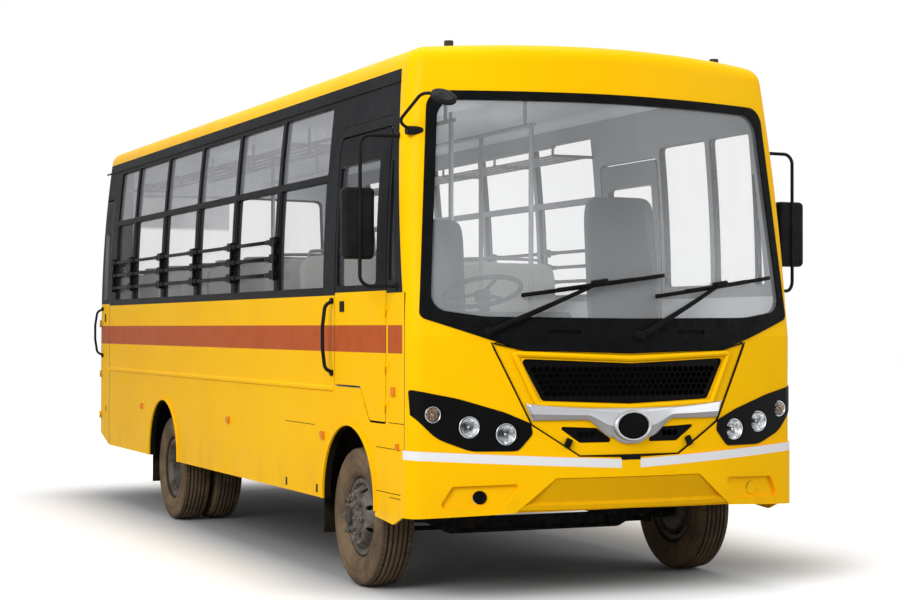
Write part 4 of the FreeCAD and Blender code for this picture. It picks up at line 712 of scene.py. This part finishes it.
def nuts(x, y, side, reach, count, across, height):
    """A ring of hexagon nuts with chamfered tops and a stud end in each, at a reach from the wheel's middle."""
    profile = np.array([(0.0, 0.0), (0.0, 0.58), (0.75, 0.58), (1.0, 0.46), (1.0, 0.30), (1.45, 0.29),
                        (1.6, 0.22), (1.6, 0.0)])
    spin = (np.arange(count) * 2 * math.pi / count)[:, None, None]
    hexagon = np.arange(6) * math.pi / 3
    ring = profile[:, 1:] * across
    return list(placed(x + side * profile[:, :1] * height, y + reach * np.cos(spin) + ring * np.cos(hexagon),
                       TYRE_RADIUS + reach * np.sin(spin) + ring * np.sin(hexagon)))


FLANGE = [(-0.004, 0.060), (-0.004, 0.101), (0.005, 0.100), (0.009, 0.092), (0.012, 0.090), (0.016, 0.083),
          (0.030, 0.079), (0.036, 0.074), (0.038, 0.066), (0.034, 0.061), (0.010, 0.0605), (-0.004, 0.060)]
HUB_CAP = [(0.0, 0.0), (0.0, 0.048), (0.002, 0.050), (0.006, 0.049), (0.012, 0.040), (0.014, 0.024),
           (0.012, 0.020), (0.012, 0.0)]
NUT_SLEEVE = [(-0.002, 0.0), (-0.002, 0.023), (0.003, 0.0225), (0.006, 0.019), (0.006, 0.0)]
for side, name in SIDES:
    way = (side, 0, 0)
    middle = np.array((side * (FRONT_WHEEL_X + 0.104), FRONT_AXLE_Y, TYRE_RADIUS))
    hub = [revolve(FLANGE, middle, way, 64), revolve(HUB_CAP, middle + (side * 0.046, 0, 0), way)]
    for turn in np.arange(8) * math.pi / 4:
        place = middle + (0, WHEEL_NUTS * math.cos(turn), WHEEL_NUTS * math.sin(turn))
        hub.append(revolve(NUT_SLEEVE, place, way, 20))
    front = nuts(middle[0] + side * 0.004, FRONT_AXLE_Y, side, WHEEL_NUTS, 8, 0.034, 0.026)
    front += nuts(side * (FRONT_WHEEL_X + 0.137), FRONT_AXLE_Y, side, 0.0715, 6, 0.026, 0.013)
    rear = nuts(side * (REAR_WHEEL_X - 0.116), REAR_AXLE_Y, side, WHEEL_NUTS, 8, 0.034, 0.030)
    surface("hub_front_" + name, hub, WHEEL, "front_wheel_" + name)
    surface("nuts_front_" + name, front, WHEEL, "front_wheel_" + name, smooth=False)
    surface("nuts_rear_" + name, rear, WHEEL, "rear_wheels_" + name, smooth=False)


# Front lamps: a bowl, a bulb, a ring and a domed lens in each well; rows of x, z, radius and whether it is small
LAMPS = ((0.711, 0.928, 0.061, False), (0.904, 0.966, 0.061, False), (1.088, 1.033, 0.047, True))
LAMP_TOE = 0.03
BULB = [(-0.046, 0.0001), (-0.046, 0.009), (-0.026, 0.0105), (-0.016, 0.0095), (-0.015, 0.007), (-0.020, 0.0001)]
TIP = [(-0.021, 0.0), (-0.021, 0.008), (-0.014, 0.007), (-0.011, 0.0)]


def nose_way(x):
    """The way that the bowed nose faces at x."""
    tilt = np.arcsin(x / NOSE_RADIUS)
    return placed(np.sin(tilt), -np.cos(tilt), 0.0)


def on_nose(x, z, out=0.0):
    """Points on the bowed nose at x and z, standing out from it the way it faces there."""
    return placed(x, nose_y(x, z), z) + nose_way(x) * np.asarray(out)[..., None]


bowls, rings, lenses, smoked, bulbs, bezels, tips = [], [], [], [], [], [], []
share = np.linspace(0, 1, 12)
for side in (-1, 1):
    for x, z, r, small in LAMPS:
        centre, way = on_nose(side * x, z, -0.006), nose_way(side * x)
        bezel = [(-0.040, r), (0.004, r), (0.007, r + 0.003), (0.006, r + 0.008), (0.001, r + 0.014),
                 (-0.008, r + 0.018), (-0.012, r + 0.010), (-0.040, r)]
        ring = [(-0.052, r - 0.011), (-0.004, r - 0.010), (0.002, r - 0.006), (0.003, r - 0.003),
                (-0.001, r - 0.0008), (-0.052, r - 0.0008), (-0.052, r - 0.011)]
        bowl = np.stack([-0.048 * (1 - share ** 2), (r - 0.010) * share], -1)
        dome = np.stack([0.001 + 0.010 * (1 - share ** 2), (r - 0.009) * share], -1)
        bezels.append(revolve(bezel, centre, way, 56))
        ahead = np.array([math.sin(side * LAMP_TOE), -math.cos(LAMP_TOE), 0.0])
        for made, profile, around in ((bowls, bowl, 40), (rings, ring, 56), (bulbs, BULB, 24), (tips, TIP, 16),
                                      (smoked if small else lenses, dome, 40)):
            made.append(revolve(profile, centre, ahead, around))
surface("lamp_bowls", bowls, BRIGHT)
lamp_rings = surface("lamp_rings", rings, RING_BRIGHT)
surface("lamp_lenses", lenses, LENS_CLEAR)
surface("lamp_lenses_smoked", smoked, LENS_SMOKED)
surface("lamp_bulbs", bulbs, HOUSING)
surface("lamp_bulb_tips", tips, BRIGHT)
surface("lamp_bezels", bezels, HOUSING)
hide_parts("front_lamps")

FOG = [(-0.030, 0.0), (-0.030, 0.0355), (0.006, 0.0355), (0.010, 0.031), (0.004, 0.027), (0.002, 0.014),
       (0.006, 0.0)]
BLANK = [(-0.004, 0.0), (-0.004, 0.036), (0.004, 0.036), (0.006, 0.032), (0.004, 0.028), (0.003, 0.014),
         (0.005, 0.0)]
surface("fog_lamp", revolve(FOG, on_nose(-0.848, FOG_Z, -0.010), nose_way(-0.848), 40), HOUSING)
surface("fog_blank", revolve(BLANK, on_nose(0.848, FOG_Z, -0.010), nose_way(0.848), 40), PAINT)


# The winged strip: a bevelled bar that widens round a plain oval disc in a ring
def winged_strip():
    """Rows across the bar from its hidden top edge over a ridge to its foot, which dips round the disc."""
    u = np.linspace(-1.0, 1.0, 241)
    share = np.array([0.0, 0.0, 0.05, 0.12, 0.54, 0.60, 0.66, 0.96, 1.0, 1.0])
    out = np.array([-0.008, 0.006, 0.013, 0.016, 0.021, 0.022, 0.019, 0.006, 0.003, -0.008])
    ends = 0.609 + (0.575 - 0.609) * share
    x = u[None, :] * ends[:, None]
    a = np.abs(x)
    top = 1.0610 + 0.0300 * np.clip(a / 0.609, 0, 1) ** 2.2
    slope = np.clip((a - 0.118) / 0.155, 0, 1)
    dip = slope ** 2 * (3 - 2 * slope)
    round_foot = DISC_Z - 0.100 * np.sqrt(np.clip(1 - (a / 0.135) ** 2, 0, 1))
    foot = np.minimum(0.905 + (1.000 - 0.905) * dip, np.where(a < 0.135, np.maximum(round_foot, 0.868), 9.0))
    z = top + (foot - top) * share[:, None]
    taper = np.clip((1 - np.abs(u)) / 0.03, 0.25, 1)
    return capped(on_nose(x, z, out[:, None] * np.where(out[:, None] > 0, taper[None, :], 1.0)))


def oval(profile):
    """A ring profile of (outward, radius) laid round the disc, wider than it is tall, on the nose's middle."""
    out, radius = np.asarray(profile, float).T[:, :, None]
    turn = turns(72)
    return placed(radius * np.cos(turn), NOSE_Y - out, DISC_Z + 0.737 * radius * np.sin(turn))


RING = [(-0.006, 0.095), (0.0300, 0.095), (0.0335, 0.098), (0.0350, 0.102), (0.0345, 0.107), (0.0310, 0.112),
        (0.0240, 0.115), (-0.006, 0.115)]
DISC = [(0.0, 0.0), (0.0, 0.0965), (0.0260, 0.0965), (0.0265, 0.080), (0.0280, 0.045), (0.0285, 0.0)]
strip = sharp("winged_strip", winged_strip(), SILVER)
surface("strip_ring", oval(RING), SILVER, wrap="uv")
surface("strip_disc", oval(DISC), HOUSING)
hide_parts("wing_bar")


def traced(corners, step=0.02):
    """Points every step along the straight runs of a closed outline."""
    p = np.asarray(corners, float)
    runs = [a + (b - a) * np.linspace(0, 1, max(2, int(np.linalg.norm(b - a) / step)), endpoint=False)[:, None]
            for a, b in zip(p, np.roll(p, -1, 0))]
    return np.concatenate(runs)


def band(outline, profile):
    """A band along a closed flat outline, as x, z and out: its profile of (across, out) is square to the run."""
    run = unit(np.roll(outline, -1, 0) - np.roll(outline, 1, 0))
    aside, out = np.asarray(profile, float).T
    place = outline + aside[:, None, None] * np.stack([-run[:, 1], run[:, 0]], -1)
    return place[..., 0], place[..., 1], out[:, None]


PANEL = [(0.612, 1.375), (0.792, 1.416), (0.577, 0.978), (0.306, 0.806), (-0.306, 0.806), (-0.577, 0.978),
         (-0.792, 1.416), (-0.612, 1.375)]
GASKET = [(-0.0042, -0.012), (0.0042, -0.012), (0.0042, 0.0008), (-0.0042, 0.0008)]
OPENING = [(0.0, 1.330), (0.668, 1.357), (0.540, 1.086), (0.0, 1.066), (-0.540, 1.086), (-0.668, 1.357)]
RIM = [(0.020, -0.004), (0.012, 0.003), (0.002, 0.009), (-0.004, 0.009), (-0.012, 0.001), (-0.018, -0.004)]
surface("panel_gasket", on_nose(*band(traced(PANEL), GASKET)), GAP_BLACK, wrap="uv", smooth=False)
surface("grille_rim", on_nose(*band(traced(OPENING), RIM)), NOSE, wrap="uv")


def bumper_well():
    """The sloped face of the bumper's middle recess: rows run across it, deeper towards a lip at the foot."""
    z = np.array([0.688, 0.688, 0.684, 0.566, 0.561, 0.545, 0.522, 0.522])[:, None]
    out = np.array([-0.0145, 0.004, 0.006, -0.0105, -0.0105, 0.0065, 0.0065, -0.0145])[:, None]
    half = 0.445 + (0.690 - z) / 0.178 * 0.217 - 0.004
    return capped(on_nose(np.linspace(-1.0, 1.0, 81)[None, :] * half, z, out))


sharp("bumper_well", bumper_well(), WELL)


def nose_block(x, z, wide, tall, turn, out):
    """A chamfered block on the nose at x and z, turned about its own outward axis."""
    flat = slab((0, 0, 0), (wide, 0.02, tall), turn, "Y", 0.003)
    return flat @ turned(math.asin(x / NOSE_RADIUS), "Z") + on_nose(x, z, out)


blocks = [nose_block(side * 0.374, 0.876, 0.034, 0.052, side * math.radians(-25), 0.004) for side in (-1, 1)]
blocks.append(nose_block(-0.005, 0.795, 0.118, 0.030, 0.0, 0.002))
surface("nose_brackets", blocks, BLACK, smooth=False)


# Wipers: each row has the pivot's x and z, then those of the blade's middle
WIPERS = ((-0.809, 1.474, -0.183, 1.742), (0.045, 1.454, 0.604, 1.742))
PIVOT = [(-0.006, 0.0), (-0.006, 0.034), (0.008, 0.033), (0.012, 0.026), (0.034, 0.024), (0.040, 0.017),
         (0.041, 0.0)]


def over_screen(start, end, out, thick, count=16):
    """A tapering rod between two front-view points, bowed with the screen and standing out from it."""
    share = np.linspace(0.0, 1.0, count)
    x, z = (low + (high - low) * share for low, high in zip(start, end))
    out = np.interp(share, np.linspace(0, 1, len(out)), out)
    return tube(on_nose(x, z, out), np.linspace(*thick, count)[:, None, None])


arms = []
for px, pz, ax, az in WIPERS:
    arms.append(revolve(PIVOT, on_nose(px, pz), nose_way(px), 28))
    arms.append(over_screen((px, pz), (ax, az), (0.024, 0.031, 0.030), (0.0170, 0.0105)))
    for x0, z0, x1, z1, out, thick, count in (
            (-0.440, -0.072, 0.405, 0.044, (0.020, 0.020), 0.0115, 16),
            (-0.245, -0.040, 0.210, 0.022, (0.022, 0.036, 0.022), 0.0095, 16),
            (-0.045, -0.008, 0.045, 0.005, (0.030, 0.030), 0.0190, 6)):
        arms.append(over_screen((ax + x0, az + z0), (ax + x1, az + z1), out, (thick, thick), count))
wiper = surface("wiper_arms", arms, BLACK)
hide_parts("wipers")


# Small things on the sides: each a plate that follows the leaning skin
def plate(side, y0, y1, z0, z1, low, high, rows=2):
    """Four corners carried up the skin, from low to high out of it; y counts from the front axle."""
    z = np.linspace(z0, z1, rows)[None, :]
    y = aft(np.array([y0, y1, y1, y0]))[:, None]
    out = np.array([low, low, high, high])[:, None]
    return capped(placed(side * (side_x(z) + out), y, z))


def square(side, y, z, half_y, half_z, low, high):
    """A plate round a middle."""
    return plate(side, y - half_y, y + half_y, z - half_z, z + half_z, low, high)


def bar_tube(side, y, z, radius, around=12):
    """A tube along the guard bars' line, clear of the skin."""
    return tube(placed(side * (float(side_x(z)) + 0.016), aft(y), z), radius, around)


BAR_Z = (1.835, 1.940, 2.048)
MARKERS = ((4.737, 0.860), (2.338, 0.856), (0.398, 0.854), (-0.730, 1.149), (-0.790, 0.852))
POSTS = [min(0.393 + 0.945 * bay - 0.026, 5.710) for bay in range(7)]
SEAMS = [(-0.883, -0.878, 0.485, 1.686), (-0.850, -0.470, 0.835, 0.839), (-0.850, -0.470, 0.594, 0.598),
         (-0.878, -0.655, 0.976, 0.980), (-0.878, -0.669, 0.571, 0.575), (0.55, 1.11, 0.908, 0.912),
         (-0.60, 0.19, 2.668, 2.673), (5.87, 5.874, 2.62, 2.91)]
SLOTS = ((1.065, 1.095, 0.505, 0.555), (0.492, 0.522, 0.505, 0.555))
seams, slots, edges, rain, bars, straps, sleeves, clamps, markers = [], [], [], [], [], [], [], [], []
for side in (-1, 1):
    right = side < 0
    seams += [plate(side, *seam, -0.004, 0.0005) for seam in (SEAMS if right else SEAMS[:1])]
    slots += [plate(side, *slot, -0.004, 0.0015) for slot in (SLOTS if right else ())]
    rain.append(plate(side, -0.660, 6.270, 2.846, 2.858, -0.004, 0.007))
    for y, z in MARKERS:
        half = 0.024 if z > 0.853 else 0.017
        markers.append(square(side, y, z, half, half, -0.003, 0.012))
    for y in POSTS if right else POSTS[1:]:
        edges.append(plate(side, y - 0.052, y + 0.052, 1.722, 2.385, -0.016, -0.004, 12))
    bars += [bar_tube(side, np.linspace(1.266, 5.744, 8), z, 0.0125, 14) for z in BAR_Z]
    for y in POSTS[1:]:
        straps.append(plate(side, y - 0.015, y + 0.015, 1.800, 2.080, -0.008, 0.022, 6))
        reach = np.linspace(-0.050 if y < 1.4 else -0.150, 0.150 if y < 5.6 else 0.040, 6)
        sleeves += [bar_tube(side, y + reach, z, 0.0165) for z in BAR_Z]
        clamps += [square(side, y, z, 0.046, 0.028, -0.002, 0.034) for z in BAR_Z]
rear_door = [plate(-1, 6.026, 6.048, 1.545, 1.615, -0.004, 0.006),
             plate(-1, 6.005, 6.023, 0.765, 0.815, -0.004, 0.0015)]
sharp("panel_seams", seams, GAP_BLACK)
sharp("skirt_slots", slots)
sharp("side_markers", markers, AMBER)
sharp("window_edges", edges, BAND)
sharp("rain_strips", rain, BAND)
lower_bars = surface("lower_bars", bars, BLACK)
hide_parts("guard_bars")
sharp("bar_straps", straps)
surface("bar_sleeves", sleeves, BLACK)
sharp("bar_clamps", clamps)
sharp("emergency_latch", rear_door, body="emergency_door_leaf")
lock = plate(-1, 0.045, 0.110, 1.588, 1.650, -0.004, 0.006)
sharp("door_lock", lock, body="driver_door_leaf")
faces = [slab((side * 1.387, aft(-0.6035), 2.062), (0.150, 0.005, 0.355), edge=0.002) for side in (-1, 1)]
surface("mirror_faces", faces, GLASS_BRIGHT, smooth=False)


def skirt_drop(side):
    """The skirt's corner ahead of the front wheel, whose foot hangs lower in a blunt peak."""
    y = np.linspace(-0.851, -0.452, 24)
    foot = np.interp(y, (-0.851, -0.722, -0.452), (0.478, 0.428, 0.452))
    top = np.full(24, 0.4815)
    x = side * (HALF - np.array([0.0125, 0.0003, 0.0003, 0.0125]))[:, None]
    return capped(placed(x, aft(y)[None, :], np.stack([top, top, foot, foot])))


sharp("skirt_corners", [skirt_drop(-1), skirt_drop(1)], NOSE)


# The tail: a rubber seal round the window, a blank plate under its lamp, and reflectors
def on_tail(x, z, out=0.0):
    """Points on the bowed tail at x and z, standing out from it."""
    arc = TAIL_Y - TAIL_RADIUS + np.sqrt(TAIL_RADIUS ** 2 - x ** 2)
    return placed(x, arc - math.tan(TAIL_RAKE) * np.maximum(0.0, z - FOOT_Z) + out, z)


HALF_SEAL = [(0.0, 2.702), (0.800, 2.686), (0.846, 2.676), (0.872, 2.655), (0.884, 2.620), (0.926, 1.860),
             (0.920, 1.822), (0.900, 1.797), (0.866, 1.788), (0.0, 1.779)]
SEAL = [(-0.022, -0.006), (-0.022, 0.003), (-0.014, 0.007), (0.004, 0.007), (0.012, 0.002), (0.012, -0.020),
        (0.006, -0.020), (-0.006, -0.006)]
outline = traced(HALF_SEAL + [(-x, z) for x, z in HALF_SEAL[-2:0:-1]])
surface("rear_window_seal", on_tail(*band(outline, SEAL)), RUBBER, wrap="uv", smooth=False)
PLATE = Finish("blank_plate", "d6d5cf", 0.45)
PLATE.paint(PLATE.patches(18.0, 5.0, 0.4, 0.7, "d6d5cf", "c6c4bb"))
plate_y = float(on_tail(0.0, 0.83)[1])
surface("rear_plate", slab((0.0, plate_y + 0.003, 0.850), (0.340, 0.010, 0.200)), PLATE.material, smooth=False)
surface("rear_plate_lamp", slab((0.0, plate_y + 0.016, 0.972), (0.110, 0.036, 0.030), edge=0.006), BLACK,
        smooth=False)
bumper_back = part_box("rear_bumper")[1][1]
REFLECTOR = [(-0.004, 0.0), (-0.004, 0.034), (0.004, 0.034), (0.006, 0.030), (0.007, 0.0)]
reflectors = [revolve(REFLECTOR, (x, bumper_back, 0.625), (0, 1, 0), 32) for x in (-0.90, 0.90)]
surface("rear_reflectors", reflectors, REFLECTOR_RED)


# Seats: a frame of round tube under each bench, with a crowned cushion and back
def bench(x0, x1, y, cushion_z, back_top, lean=0.10):
    """Cushion and back of one bench, its front edge at y: two crowned pads, the back one leaned."""
    middle, wide = (x0 + x1) / 2, x1 - x0
    height = back_top - cushion_z + 0.03
    seat = cushion((wide, 0.43, 0.105), 0.22) @ turned(0.02, "X")
    back = cushion((wide, height, 0.085), 0.30) @ turned(math.pi / 2 - lean, "X")
    return [seat + np.array([middle, y + 0.215, cushion_z - 0.050]),
            back + np.array([middle, y + 0.452 + lean * height / 2, cushion_z - 0.03 + height / 2])]


def bench_frame(x0, x1, y, cushion_z, back_top):
    """Tubes of one bench: two legs, bent into a bar under the cushion, and a grip over the back."""
    tubes = []
    for x in (x0 + 0.075, x1 - 0.075):
        leg = [(x, y + 0.06, FLOOR_Z + 0.012), (x, y + 0.07, FLOOR_Z + 0.20), (x, y + 0.10, cushion_z - 0.13),
               (x, y + 0.36, cushion_z - 0.115), (x, y + 0.385, FLOOR_Z + 0.25), (x, y + 0.40, FLOOR_Z + 0.012)]
        tubes.append(tube(eased(leg), 0.014, 10, (1.0, 0.0, 0.0)))
    half = [(0.08, 0.515, -0.10), (0.08, 0.545, 0.005), (0.16, 0.550, 0.030)]
    grip = [(x0 + x, y + back, back_top + z) for x, back, z in half]
    grip += [(x1 - x, y + back, back_top + z) for x, back, z in half[::-1]]
    tubes.append(tube(eased(grip), 0.011, 10, (0.0, 1.0, 0.0)))
    return tubes


AISLE_X = 0.300
WALL_X = HALF - 0.045 - 0.060
BACK_TOP = 1.960
FIRST_ROW, LAST_ROW = {-1: 0.640, 1: 1.420}, 6.286 - 0.560
FRONT_BENCH = (0.450, 0.930, aft(-0.330), CUSHION_Z)
pads, frames, backs = [], [], []
for side in (-1, 1):
    first = FIRST_ROW[side]
    for row in range(int((LAST_ROW - first) // SEAT_PITCH) + 1):
        place = (*sorted((side * AISLE_X, side * WALL_X)), aft(first + SEAT_PITCH * row), CUSHION_Z, BACK_TOP)
        seat, back = bench(*place)
        pads.append(seat)
        backs.append(back)
        frames += bench_frame(*place)
frames += bench_frame(*FRONT_BENCH, 2.230)[:2]
cushions = surface("seat_cushions", pads, PALE_CLOTH)
seat_backs = surface("seat_backs", backs, PALE_CLOTH)
front_seat = surface("front_seat", bench(*FRONT_BENCH, 2.320, 0.09), CLOTH)
surface("seat_frames", frames, CREAM)
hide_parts("passenger_seats")

driver = surface("driver_cushions", bench(-0.800, -0.380, aft(-0.280), 1.520, 2.150, 0.09), CLOTH)
base = [slab((-0.59, aft(-0.055), 1.255), (0.34, 0.33, 0.385), edge=0.012),
        slab((-0.59, aft(-0.07), 1.4535), (0.38, 0.37, 0.012), edge=0.004)]
surface("driver_seat_base", base, TRIM, smooth=False)
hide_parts("driver_seat")


# Camera, light and floor
def aim(name, kind, place, target, **settings):
    """A camera or lamp at a place, looking at a target."""
    data = bpy.data.cameras.new(name) if kind == "CAMERA" else bpy.data.lights.new(name, kind)
    for key, value in settings.items():
        setattr(data, key, value)
    made = bpy.data.objects.new(name, data)
    bpy.context.scene.collection.objects.link(made)
    made.location = place
    made.rotation_mode = "QUATERNION"
    made.rotation_quaternion = (Vector(target) - Vector(place)).to_track_quat("-Z", "Y")
    return made


EYE = Vector((-4.956, -12.6745, 1.490))
YAW, PITCH, ROLL = math.radians(23.635), math.radians(0.891), math.radians(0.099)
AHEAD = Vector((math.sin(YAW) * math.cos(PITCH), math.cos(YAW) * math.cos(PITCH), math.sin(PITCH)))
camera = aim("camera", "CAMERA", EYE, EYE + AHEAD, lens=74.18, sensor_width=36.0, clip_end=200.0)
camera.rotation_quaternion = camera.rotation_quaternion @ Matrix.Rotation(ROLL, 3, "Z").to_quaternion()
bpy.context.scene.camera = camera
bpy.context.scene.view_settings.view_transform = "Standard"

aim("key", "AREA", (-12.4, -10.9, 9.0), (0.0, -1.0, 1.4), energy=2060.0, size=9.0)
aim("fill", "AREA", (11.0, -11.0, 7.0), (0.0, -1.0, 1.2), energy=620.0, size=9.0)
aim("top", "AREA", (0.0, 0.0, 12.0), (0.0, 0.0, 0.0), energy=720.0, size=10.0)
for number, y in enumerate((-2.4, -0.6, 1.2, 3.0)):
    lamp = aim("cabin_%d" % number, "POINT", (0.0, y, 2.25), (0.0, y, 0.0), energy=14.0, shadow_soft_size=0.25)
    lamp.visible_camera = lamp.visible_glossy = lamp.visible_transmission = False

world = bpy.data.worlds.new("studio")
bpy.context.scene.world = world
world.use_nodes = True
sky = Wires(world.node_tree)
background = sky.tree.nodes["Background"]
background.inputs[0].default_value = (1.0, 1.0, 1.0, 1.0)
sky.feed(background.inputs[1], sky.ramp(sky.looked(), 0.0, 1.0, 0.47, 1.0))


def floor_finish():
    """A near-white floor that keeps the shadow, with a painted shadow that darkens it round the bus, and as
    bright as the background far out.
    """
    f = Finish("studio_floor", "fbfbfb", 0.9)
    x, y = f.axes()[:2]
    x = f.math("MAXIMUM", 0.0, f.math("SUBTRACT", f.far(x, 0.3), 0.9))
    y = f.math("MAXIMUM", 0.0, f.math("SUBTRACT", f.far(y, 0.6), 3.0))
    reach = f.reach(x, y)
    looked = f.looked()
    # Painted shadow: the floor's colour darkens to grey round the bus, in a soft-edged oblong set a little off
    # its middle.
    pale = f.blend(f.ramp(reach, 0.0, 1.2), "909090", "e2e2e2")
    pale = f.blend(f.ramp(reach, 1.0, 2.8), pale, "8a8a8a")
    f.paint(f.blend(looked, "a8a8a8", pale))
    f.put("Emission Color", (1.0, 1.0, 1.0, 1.0))
    f.put("Emission Strength", f.times(looked, f.ramp(reach, 0.45, 2.8)))
    return f.material


out, turn = np.linspace(0.0, 1.0, 24)[:, None] ** 1.5 * 60.0, turns(64)
floor = surface("studio_floor", placed(out * np.cos(turn), out * np.sin(turn), 0.0), floor_finish())
floor.parent = None
del floor["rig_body"]
